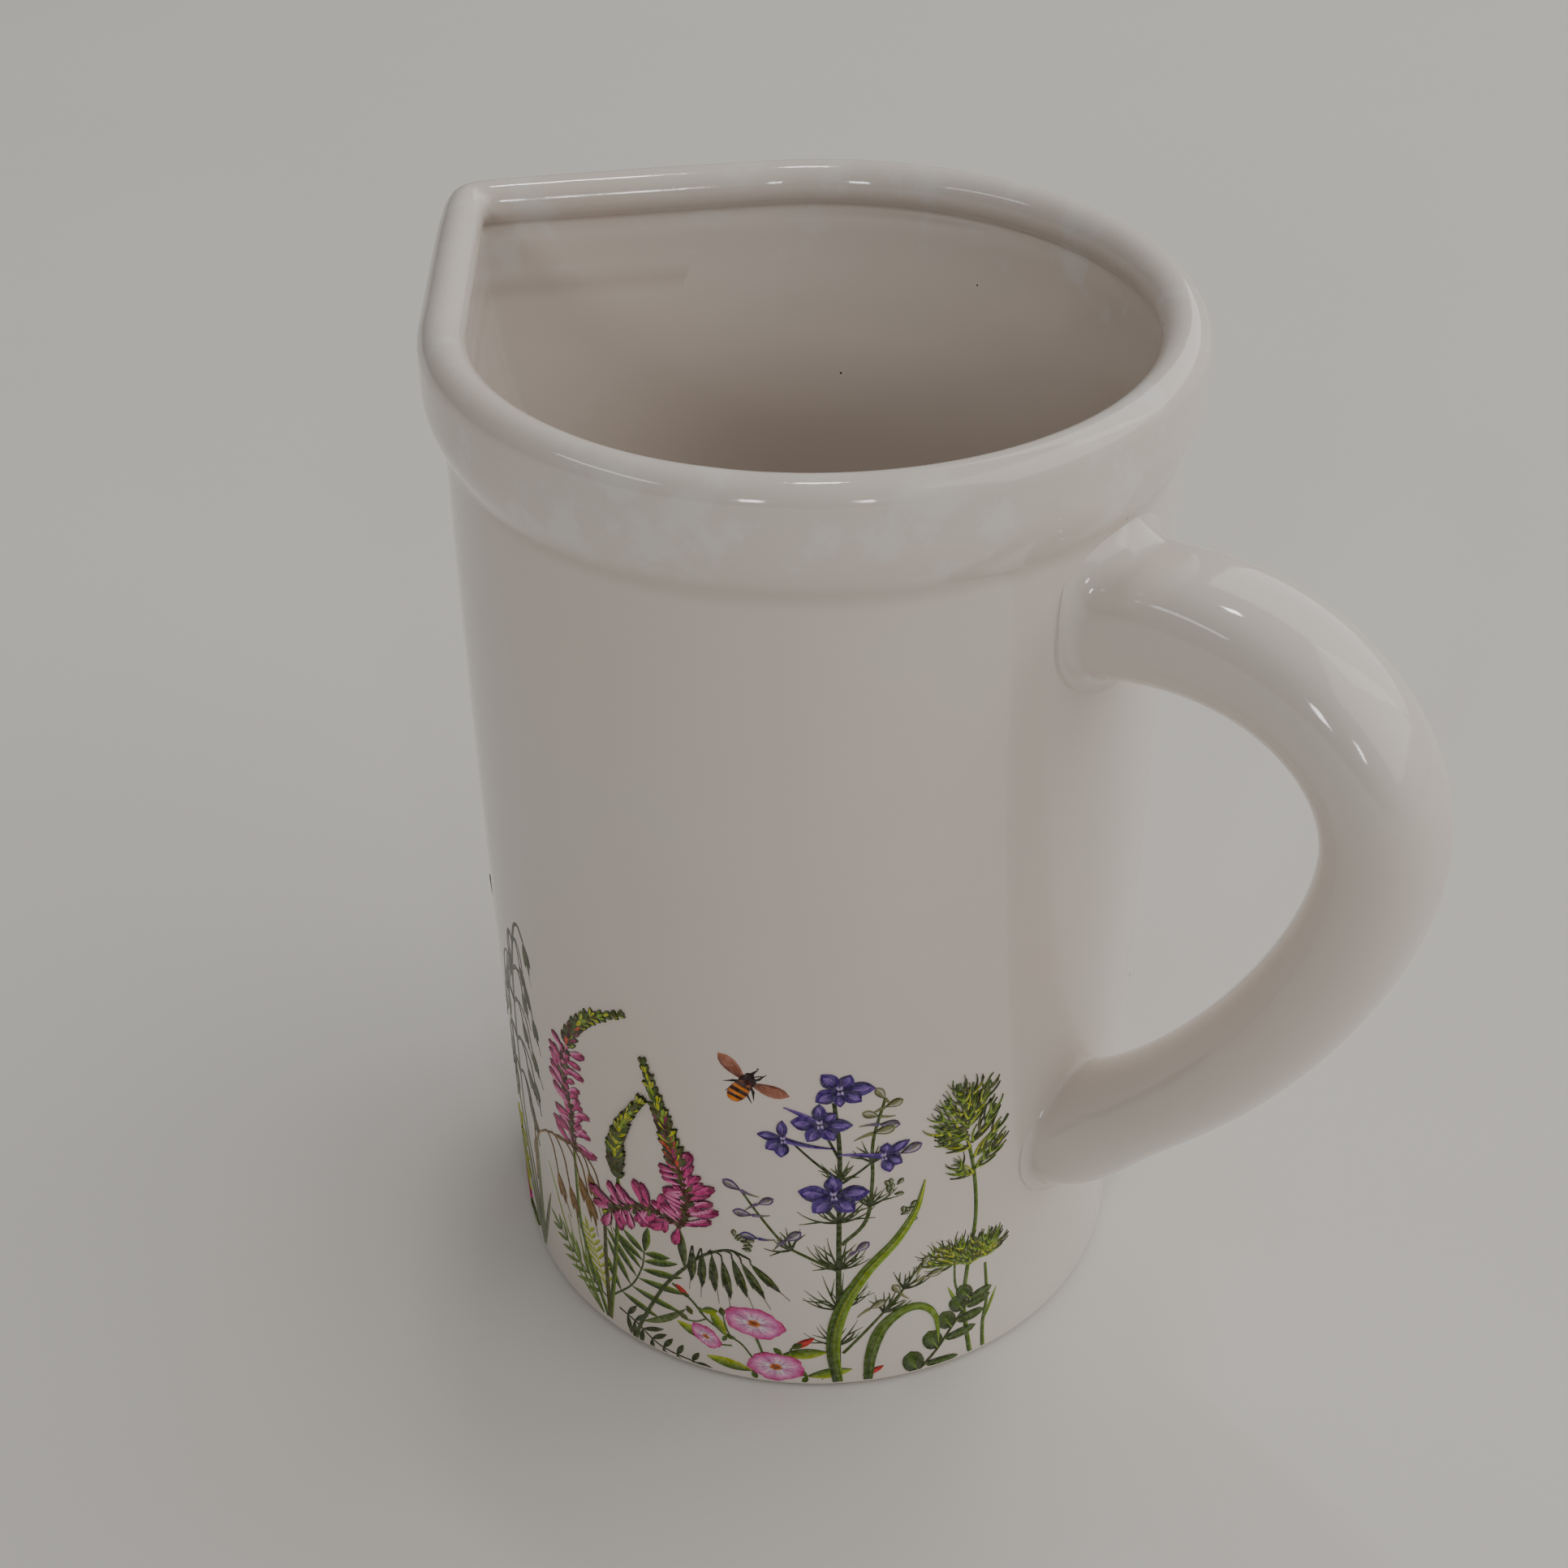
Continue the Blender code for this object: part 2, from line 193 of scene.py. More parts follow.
class Nodes:
    """A material's node tree, with short calls for the nodes used here."""

    def __init__(self, name):
        self.material = bpy.data.materials.new(name)
        self.material.use_nodes = True
        self.tree = self.material.node_tree
        self.shader = self.tree.nodes["Principled BSDF"]

    def add(self, kind, **settings):
        node = self.tree.nodes.new("ShaderNode" + kind)
        for key, value in settings.items():
            setattr(node, key, value)
        return node

    def link(self, value, socket):
        """Feed a socket from another node's output, or from a plain number or colour."""
        if isinstance(value, bpy.types.NodeSocket):
            self.tree.links.new(value, socket)
        elif isinstance(value, (tuple, list)) and len(value) == 3 and socket.type == "RGBA":
            socket.default_value = (*value, 1.0)
        else:
            socket.default_value = value

    def math(self, operation, *values):
        node = self.add("Math", operation=operation)
        for value, socket in zip(values, node.inputs):
            self.link(value, socket)
        return node.outputs[0]

    def mix(self, factor, first, second, blend="MIX"):
        node = self.add("Mix", data_type="RGBA", blend_type=blend)
        self.link(factor, node.inputs[0])
        self.link(first, node.inputs[6])
        self.link(second, node.inputs[7])
        return node.outputs[2]

    def place(self):
        """Where a point of the object is, in metres."""
        return self.add("TexCoord").outputs["Object"]

    def noise(self, place, scale, detail=2.0, roughness=0.5):
        node = self.add("TexNoise")
        self.link(place, node.inputs["Vector"])
        node.inputs["Scale"].default_value = scale
        node.inputs["Detail"].default_value = detail
        node.inputs["Roughness"].default_value = roughness
        return node.outputs[0]

    def ramp(self, value, low, high):
        """0 below low, 1 above high, smooth between."""
        node = self.add("MapRange", interpolation_type="SMOOTHSTEP")
        self.link(value, node.inputs[0])
        node.inputs[1].default_value = low
        node.inputs[2].default_value = high
        return node.outputs[0]

    def bump(self, height, strength, distance, before=None):
        node = self.add("Bump")
        node.inputs["Strength"].default_value = strength
        node.inputs["Distance"].default_value = distance
        self.link(height, node.inputs["Height"])
        if before is not None:
            self.link(before, node.inputs["Normal"])
        return node.outputs[0]

    def settle(self, **values):
        for key, value in values.items():
            self.link(value, self.shader.inputs[key.replace("_", " ")])


def glaze_surface(nodes, place):
    """The glaze's slow waves and fine orange peel, as a normal."""
    waves = nodes.bump(nodes.noise(place, 38.0, 1.0), 0.30, 0.0012)
    return nodes.bump(nodes.noise(place, 420.0, 2.0), 0.05, 0.0004, waves)


def glaze_material():
    nodes = Nodes("white_glaze")
    place = nodes.place()
    apart = nodes.add("SeparateXYZ")
    nodes.link(place, apart.inputs[0])
    x, y, z = apart.outputs
    off_axis = nodes.math("SUBTRACT", x, AXIS_X)
    radius = nodes.math("SQRT", nodes.math("ADD", nodes.math("POWER", off_axis, 2.0),
                                           nodes.math("POWER", y, 2.0)))
    around = nodes.math("MULTIPLY", nodes.math("ARCTAN2", y, off_axis), SHOULDER_RADIUS)

    # body colour: warm off-white that drifts a little, cooler and thicker on the band
    drift = nodes.ramp(nodes.noise(place, 16.0, 3.0), 0.3, 0.7)
    colour = nodes.mix(drift, GLAZE_WARM, GLAZE_COOL)
    on_band = nodes.ramp(z, BAND_FOOT, BAND_FOOT + 0.006)
    patches = nodes.ramp(nodes.noise(place, 85.0, 4.0, 0.6), 0.50, 0.66)
    cloud = nodes.math("MULTIPLY", on_band, patches)
    colour = nodes.mix(nodes.math("MULTIPLY", cloud, 0.55), colour, GLAZE_CLOUD)

    # painted shade: the hollow under the band is coloured a little darker, where shade falls
    above = nodes.ramp(z, BAND_FOOT + 0.0035, BAND_FOOT - 0.0005)
    below = nodes.ramp(z, BAND_FOOT - 0.0030, BAND_FOOT + 0.0005)
    outside = nodes.math("GREATER_THAN", radius, SHOULDER_RADIUS - WALL / 2)
    # mask of the painted shade under the band, on the outside only
    ink_pool_and_crease_shade = nodes.math("MULTIPLY", nodes.math("MULTIPLY", above, below), outside)
    colour = nodes.mix(nodes.math("MULTIPLY", ink_pool_and_crease_shade, 0.45), colour, PAINTED_CREASE_SHADE)

    # pinholes: a few dark specks where the glaze did not close, more of them inside
    flat_place = nodes.add("CombineXYZ")
    nodes.link(around, flat_place.inputs[0])
    nodes.link(z, flat_place.inputs[1])
    cells = nodes.add("TexVoronoi", voronoi_dimensions="2D")
    nodes.link(flat_place.outputs[0], cells.inputs["Vector"])
    cells.inputs["Scale"].default_value = 1.0 / PINHOLE_CELL
    pick = nodes.add("SeparateColor")
    nodes.link(cells.outputs["Color"], pick.inputs[0])
    inside = nodes.math("LESS_THAN", radius, SHOULDER_RADIUS - WALL / 2)
    chosen = nodes.math("LESS_THAN", pick.outputs[0],
                        nodes.math("MULTIPLY_ADD", inside, PINHOLES_MORE_INSIDE, PINHOLES_OUTSIDE))
    size = nodes.math("MULTIPLY_ADD", pick.outputs[1], PINHOLE_SIZE, PINHOLE_SIZE)
    speck = nodes.math("LESS_THAN", cells.outputs["Distance"], size)
    speck = nodes.math("MULTIPLY", speck, chosen)
    colour = nodes.mix(speck, colour, PINHOLE_BROWN)

    rough = nodes.math("MULTIPLY_ADD", nodes.noise(place, 60.0, 2.0), 0.05, 0.055)
    nodes.settle(Base_Color=colour, Roughness=rough, IOR=1.52, Coat_Weight=0.35,
                 Coat_Roughness=0.03, Normal=glaze_surface(nodes, place))
    return nodes.material


def clay_material():
    """The wiped foot: matt cream clay with fine grains and a grey scuff where it has stood."""
    nodes = Nodes("bare_clay")
    place = nodes.place()
    grain = nodes.noise(place, 1500.0, 4.0, 0.7)
    patch = nodes.ramp(nodes.noise(place, 90.0, 3.0), 0.40, 0.72)
    colour = nodes.mix(grain, CLAY_DARK, CLAY_LIGHT)
    colour = nodes.mix(nodes.math("MULTIPLY", patch, 0.45), colour, CLAY_SCUFF)
    rough = nodes.math("MULTIPLY_ADD", grain, 0.25, 0.65)
    surface = nodes.bump(grain, 0.5, 0.0002)
    nodes.settle(Base_Color=colour, Roughness=rough, Normal=surface)
    return nodes.material


def ink_material():
    """Fired enamel, a little duller than the glaze, with the grain of a watercolour wash."""
    nodes = Nodes("printed_transfer")
    place = nodes.place()
    ink = nodes.add("Attribute", attribute_name="ink").outputs["Color"]
    wash = nodes.noise(place, 900.0, 4.0, 0.65)
    ink_pool_and_crease_shade = nodes.noise(place, 260.0, 2.0)
    dark = nodes.mix(1.0, ink, WASH_DARK, "MULTIPLY")
    light = nodes.mix(0.06, ink, WASH_LIGHT)
    colour = nodes.mix(nodes.ramp(wash, 0.38, 0.62), dark, light)
    colour = nodes.mix(nodes.math("MULTIPLY", nodes.ramp(ink_pool_and_crease_shade, 0.35, 0.75), 0.30), colour, ink)
    rough = nodes.math("MULTIPLY_ADD", wash, 0.05, 0.20)
    nodes.settle(Base_Color=colour, Roughness=rough, Specular_IOR_Level=0.25,
                 Normal=glaze_surface(nodes, place))
    return nodes.material


GLAZE = glaze_material()
CLAY = clay_material()
INK = ink_material()

# ---- Body and foot ----


def body_outline():
    """(r, z, depth) from the middle of the inside floor, over the rim, to the middle underneath.

    depth is 0 inside the wall and 1 outside it, for the rounding of the spout's nose."""
    crest_z = HEIGHT - LIP_RADIUS
    band_radius = LIP_CENTRE + LIP_RADIUS
    cove_r = barrel_radius(FLOOR_TOP) - WALL - FLOOR_COVE
    floor = [(r, FLOOR_TOP) for r in spaced(0.0, cove_r, 10)[:-1]]
    cove = arc(cove_r, FLOOR_TOP + FLOOR_COVE, FLOOR_COVE, -90, 0, 10)
    tuck = arc(LIP_CENTRE, crest_z, LIP_RADIUS, 180 + LIP_TUCK, 180, 10)
    tuck_r, tuck_z = tuck[0]
    inner_top = tuck_z - HOLLOW_DROP
    inside = [(barrel_radius(z) - WALL, z) for z in spaced(FLOOR_TOP + FLOOR_COVE, inner_top, 64)]
    # under the lip the wall eases back to meet the tucked edge
    hollow_depth = tuck_r - (SHOULDER_RADIUS - WALL)
    inside = [(r + hollow_depth * float(smooth_step(1.0 - (inner_top - z) / HOLLOW_HEIGHT)), z)
              for r, z in inside]
    start, end = Vector((*inside[-1], 0)), Vector((tuck_r, tuck_z, 0))
    leave, arrive = (Vector((*pull, 0)) for pull in LIP_BEND_PULLS)
    inside += [(p.x, p.y) for p in interpolate_bezier(start, start + leave, end + arrive, end, 8)[1:-1]]
    crest = arc(LIP_CENTRE, crest_z, LIP_RADIUS, 180, 0, 32)[1:-1]
    swell = [(band_radius, crest_z)]
    for t in spaced(1.0, 0.0, 24):
        full = 1.0 - (1.0 - t ** BAND_CREASE) ** BAND_FULLNESS
        radius = SHOULDER_RADIUS + (band_radius - SHOULDER_RADIUS) * full
        swell.append((radius, BAND_FOOT + BAND_WAIST * t))
    edge_z = TABLE_CLEARANCE + EDGE_RADIUS
    outside = [(barrel_radius(z), z) for z in spaced(BAND_FOOT, edge_z, 90)[1:-1]]
    lower_edge = arc(barrel_radius(edge_z) - EDGE_RADIUS, edge_z, EDGE_RADIUS, 0, -90, 8)
    hidden = FOOT_BURY - 4 * SEAM
    under = [(FOOT_OUTER + SEAM, TABLE_CLEARANCE), (FOOT_OUTER - SEAM, hidden)]
    under += [(FOOT_INNER + 2 * SEAM, hidden)]
    under += arc(FOOT_INNER - RECESS_ROUND, hidden - 2 * SEAM, RECESS_ROUND, 0, 90, 5)
    flat = hidden - 2 * SEAM + RECESS_ROUND
    under += [(r, flat) for r in spaced(FOOT_INNER - RECESS_ROUND - 6 * SEAM, 0.0, 8)]
    outline = [(r, z, 0.0) for r, z in floor + cove + inside + tuck]
    outline += [(r, z, (r - LIP_CENTRE + LIP_RADIUS) / (2 * LIP_RADIUS)) for r, z in crest]
    outline += [(r, z, 1.0) for r, z in swell + outside + lower_edge + under]
    return outline


def pull_spout(radius, angle, z, depth):
    """Radius and angle from the spout, after the clay is drawn out into two flanks and a nose."""
    angle = angle - CROWDING * np.sin(angle)
    nose = SPOUT_NOSE_INSIDE + (SPOUT_NOSE_OUTSIDE - SPOUT_NOSE_INSIDE) * depth
    off_nose = np.minimum(np.hypot(angle, nose), SPOUT_HALF_ANGLE)
    pull = 1.0 / np.cos(SPOUT_HALF_ANGLE - off_nose) - 1.0
    pull = pull * smooth_step((z - SPOUT_ROOT) / (BAND_FOOT - SPOUT_ROOT))
    return radius * (1.0 + pull), angle


def uneven(points):
    """Hand-finished clay: the rim and the upper wall sink by up to a fifth of a millimetre."""
    sunk = []
    for point in points:
        high = float(smooth_step((point[2] - UNEVEN_FROM) / UNEVEN_RISE))
        slow, quick = (depth * (0.5 + 0.5 * noise.noise(Vector(point) * density))
                       for density, depth in (SLOW_DENTS, QUICK_DENTS))
        sunk.append(high * (slow + quick))
    return np.array(sunk)


def turned_faces(rings, steps):
    """Quads between neighbouring rings of steps points each, facing away from the clay."""
    faces = []
    for ring in range(rings - 1):
        for i in range(steps):
            a = ring * steps + i
            b = ring * steps + (i + 1) % steps
            faces.append((a, b, b + steps, a + steps))
    return faces


def build_body():
    outline = np.array(body_outline())
    rim_to_axis = outline[1:-1]    # the two end points lie on the axis
    turn = 2.0 * pi * np.arange(BODY_STEPS) / BODY_STEPS - pi
    radius, angle = np.meshgrid(rim_to_axis[:, 0], turn, indexing="ij")
    z = np.repeat(rim_to_axis[:, 1:2], BODY_STEPS, axis=1)
    depth = np.repeat(rim_to_axis[:, 2:3], BODY_STEPS, axis=1)
    radius, angle = pull_spout(radius, angle, z, depth)
    points = np.stack([-radius * np.cos(angle), radius * np.sin(angle), z], axis=-1).reshape(-1, 3)
    rings = len(rim_to_axis)
    faces = turned_faces(rings, BODY_STEPS)
    floor_pole, under_pole = len(points), len(points) + 1
    points = np.vstack([points, (0.0, 0.0, outline[0][1]), (0.0, 0.0, outline[-1][1])])
    last = (rings - 1) * BODY_STEPS
    for i in range(BODY_STEPS):
        j = (i + 1) % BODY_STEPS
        faces.append((floor_pole, j, i))
        faces.append((under_pole, last + i, last + j))
    points[:, 0] += AXIS_X
    body = new_piece("pitcher_body", points, faces, GLAZE)
    normals = np.array([v.normal for v in body.data.vertices])
    sunk = points - normals * uneven(points)[:, None]
    body.data.vertices.foreach_set("co", sunk.astype(np.float32).ravel())
    body.data.update()
    return body


def build_foot():
    """The bare ring that the pitcher stands on, with worn round edges."""
    outline = [(FOOT_INNER, FOOT_BURY), (FOOT_OUTER, FOOT_BURY)]
    outline += arc(FOOT_OUTER - FOOT_ROUND, FOOT_ROUND, FOOT_ROUND, 0, -90, 6)
    outline += arc(FOOT_INNER + FOOT_ROUND, FOOT_ROUND, FOOT_ROUND, -90, -180, 6)
    points = []
    for r, z in outline + outline[:1]:
        for i in range(BODY_STEPS):
            turn = 2.0 * pi * i / BODY_STEPS
            points.append((AXIS_X + r * cos(turn), r * sin(turn), z))
    faces = [tuple(reversed(f)) for f in turned_faces(len(outline) + 1, BODY_STEPS)]
    foot = new_piece("bare_foot", points, faces, CLAY)
    weld(foot)
    return foot


def weld(piece):
    """Join doubled points and face everything outwards."""
    work = bmesh.new()
    work.from_mesh(piece.data)
    bmesh.ops.remove_doubles(work, verts=work.verts, dist=1e-7)
    bmesh.ops.recalc_face_normals(work, faces=work.faces)
    work.to_mesh(piece.data)
    work.free()


# ---- Handle ----


def handle_line(count):
    """Centre points (r, z) and sizes of the handle, evenly spread over its two Bezier stretches."""
    top, apex, end = (Vector((r, z, 0.0)) for r, z in (HANDLE_TOP, HANDLE_APEX, HANDLE_END))
    rise, fall = (Vector((0.0, pull, 0.0)) for pull in HANDLE_APEX_PULLS)
    upper = interpolate_bezier(top, top + Vector((*HANDLE_TOP_PULL, 0)), apex + rise, apex, count)
    lower = interpolate_bezier(apex, apex - fall, end + Vector((*HANDLE_END_PULL, 0)), end, count)
    share = np.linspace(0.0, 1.0, count)
    sizes = HANDLE_TOP_SCALE + (1.0 - HANDLE_TOP_SCALE) * smooth_step(share)
    low_sizes = HANDLE_END_SCALE + (1.0 - HANDLE_END_SCALE) * smooth_step(1.0 - share)
    line = np.array([p[:2] for p in upper + lower[1:]])
    sizes = np.concatenate([sizes, low_sizes[1:]])
    # the lower end swells and sinks a little where it was pressed on to the barrel
    off_wall = np.maximum(line[:, 0] - barrel_radius(line[:, 1]), 0.0)
    heel = np.exp(-(off_wall / HEEL_REACH) ** 2) * (np.arange(len(line)) > count)
    sizes = sizes + HEEL_SPREAD * heel
    line[:, 1] -= HEEL_SAG * heel
    # run straight on into the wall at both ends
    steps = np.arange(1, HANDLE_RUN_ON + 1)[:, None]
    before = line[0] - (line[1] - line[0]) * steps[::-1]
    after = line[-1] + (line[-1] - line[-2]) * steps
    return np.vstack([before, line, after]), np.pad(sizes, HANDLE_RUN_ON, mode="edge")


def resample(values, places):
    """Rows of values at fractional row numbers."""
    low = np.clip(np.floor(places).astype(int), 0, len(values) - 2)
    part = (places - low)[:, None]
    return values[low] * (1.0 - part) + values[low + 1] * part


def handle_rail(line, sizes, normals, turn):
    """One lengthwise line of the handle's skin, from inside the wall, round the loop, and back."""
    share = np.linspace(0.0, 1.0, len(line))
    power = 2.0
    if cos(turn) > 0.0:
        power = 2.0 + (HANDLE_SQUARENESS - 2.0) * (1.0 - smooth_step(share))
    reach = copysign(1.0, cos(turn)) * np.power(abs(cos(turn)), 2.0 / power)
    across = copysign(1.0, sin(turn)) * np.power(abs(sin(turn)), 2.0 / power)
    reach = reach * HANDLE_HALF_DEPTH * sizes
    skin = np.column_stack([line[:, 0] + normals[:, 0] * reach, across * HANDLE_HALF_WIDTH * sizes,
                            line[:, 1] + normals[:, 1] * reach])
    off_wall = np.hypot(skin[:, 0], skin[:, 1]) - barrel_radius(skin[:, 2])
    middle = len(line) // 2
    saddle = HANDLE_FILLET + HANDLE_SADDLE * max(cos(turn), 0.0) ** 2
    heads, head_spread = fillet_places(off_wall[:middle], saddle)
    tails, tail_spread = fillet_places(off_wall[:middle:-1], HEEL_FILLET)
    tails = len(line) - 1 - tails[::-1]
    loop = np.linspace(heads[-1], tails[0], HANDLE_RINGS)[1:-1]
    places = np.concatenate([heads, loop, tails])
    spread = np.concatenate([head_spread, np.zeros(len(loop)), tail_spread[::-1]])
    skin = resample(skin, places)
    outward = resample(normals, places)
    skin[:, 0] += spread * outward[:, 0] * cos(turn)
    skin[:, 1] += spread * sin(turn)
    skin[:, 2] += spread * outward[:, 1] * cos(turn)
    return skin


def fillet_places(off_wall, fillet):
    """Where a rail's rings go from inside the wall to the fillet's end, and how far each spreads."""
    rise = np.maximum.accumulate(off_wall)
    inside = int(np.nonzero(off_wall > -HANDLE_BURY)[0][0])
    angles = np.linspace(pi / 2.0, 0.0, FILLET_STEPS)
    heights = fillet * (1.0 - np.sin(angles)) - FILLET_DIP
    places = np.interp(heights, rise[inside - 1:], np.arange(inside - 1, len(rise)))
    start = inside - (off_wall[inside] + HANDLE_BURY) / (off_wall[inside] - off_wall[inside - 1])
    spreads = fillet * (1.0 - np.cos(angles))
    return np.concatenate([[start], places]), np.concatenate([spreads[:1], spreads])


def build_handle():
    line, sizes = handle_line(160)
    run = np.gradient(line, axis=0)
    run /= np.linalg.norm(run, axis=1)[:, None]
    normals = np.column_stack([-run[:, 1], run[:, 0]])
    turns = [2.0 * pi * i / HANDLE_RAILS for i in range(HANDLE_RAILS)]
    rails = [handle_rail(line, sizes, normals, turn) for turn in turns]
    points = np.stack(rails, axis=1).reshape(-1, 3)
    points[:, 0] += AXIS_X
    rings = len(rails[0])
    faces = turned_faces(rings, HANDLE_RAILS)
    last = (rings - 1) * HANDLE_RAILS
    faces.append(tuple(range(HANDLE_RAILS)))
    faces.append(tuple(range(last, last + HANDLE_RAILS)))
    handle = new_piece("pitcher_handle", points, faces, GLAZE)
    weld(handle)
    return handle


# ---- Drawing the print ----

# ink colours, 0 to 255 as a colour picker shows them
INKS = {
    "leaf": (96, 124, 24), "pine": (58, 78, 14), "sap": (158, 186, 50),
    "lime": (206, 210, 34), "olive": (112, 112, 20), "moss": (84, 92, 14),
    "stem": (92, 110, 34), "ivy": (60, 72, 20),
    "straw": (198, 156, 58), "husk": (128, 98, 26), "bark": (78, 60, 26),
    "reed": (60, 70, 14), "rush": (122, 132, 50),
    "celadon": (136, 150, 92), "sage": (90, 108, 44),
    "pink": (226, 82, 160), "blush": (250, 184, 220), "magenta": (174, 24, 112),
    "plum": (102, 16, 80), "wine": (98, 14, 30), "coral": (222, 96, 66), "rose": (210, 132, 184),
    "violet": (94, 56, 150), "indigo": (52, 22, 92), "lilac": (160, 130, 200),
    "mauve": (126, 100, 150), "pearl": (230, 224, 228), "bud": (146, 148, 104),
    "amber": (242, 156, 24), "rust": (134, 58, 10), "red": (206, 30, 36),
    "soot": (18, 10, 8), "umber": (60, 20, 10),
    "wing": (196, 140, 116), "tan": (124, 68, 50),
}
# a stroke's inks at its root, at its tip and along its two edges
GRASS_STEM = ("leaf", "leaf", ("pine", "sap"))
GRASS_BLADE = ("leaf", "sap", ("pine", "sap"))
# a bud spike's inks low down and at its tip, and the sides on which its bracts stand
BUD_INKS = ("wine", "magenta", "olive", "coral")
TIP_INKS = ("lime", "sap", "lime", "olive", "leaf")
BRACT_SIDES = (-1, 1, -0.5, 0.5, 0)
# a fern's inks: stalk, leaflet, its tip, dark rim, light rim; and the shares of its stalk with leaflets
DARK_FERN = ("ivy", "pine", "moss", "pine", "sage")
FIRST_LEAFLET, LAST_LEAFLET = 0.16, 0.97


def linear(colour):
    """A picker colour as linear light, deepened as enamel is when it is fired."""
    return tuple(((c / 255 + 0.055) / 1.055) ** (2.4 * INK_DEPTH) for c in colour)


INKS = {name: linear(colour) for name, colour in INKS.items()}


def blend(first, second, t):
    return tuple(a + (b - a) * t for a, b in zip(first, second))


def lens(t):
    return sin(pi * t) ** 0.85


def oval(t):
    return sqrt(max(1 - (2 * t - 1) ** 2, 0))


def petal(t):
    return sin(pi * t ** 1.5) ** 0.65 if 0 < t < 1 else 0


def pointed(t):
    return sin(pi * t ** 1.2) ** 0.9 if 0 < t < 1 else 0


def thorn(t):
    return (1 - t) ** 0.8


def even(t):
    return 1 - 0.35 * t


def blade(t):
    return min(0.55 + 1.6 * t, 1) * (1 - t) ** 0.6


def smooth_path(knots, per_span=6):
    """Points of a smooth (Catmull-Rom) curve through the knots."""
    knots = [Vector(k) for k in knots]
    ends = [2 * knots[0] - knots[1]] + knots + [2 * knots[-1] - knots[-2]]
    path = []
    for a, b, c, d in zip(ends, ends[1:], ends[2:], ends[3:]):
        for i in range(per_span):
            t = i / per_span
            point = b * 2 + (c - a) * t + (a * 2 - b * 5 + c * 4 - d) * t ** 2
            point += (b * 3 - a - c * 3 + d) * t ** 3
            path.append(tuple(point / 2))
    return path + [tuple(knots[-1])]


def bent(start, heading, length, bend=0, count=6):
    """Path from start at a heading (0 right, 90 up) that turns by bend degrees on its way."""
    x, up = start
    path = [(x, up)]
    for i in range(count):
        angle = radians(heading + bend * (i + 0.5) / count)
        x += cos(angle) * length / count
        up += sin(angle) * length / count
        path.append((x, up))
    return path


def ahead(start, heading, distance):
    return bent(start, heading, distance, 0, 1)[-1]


def along(path, t):
    """Point and heading at the share t of a path's points."""
    place = min(max(t, 0), 1) * (len(path) - 1)
    i = min(int(place), len(path) - 2)
    (x0, z0), (x1, z1) = path[i], path[i + 1]
    part = place - i
    return (x0 + (x1 - x0) * part, z0 + (z1 - z0) * part), degrees(atan2(z1 - z0, x1 - x0))


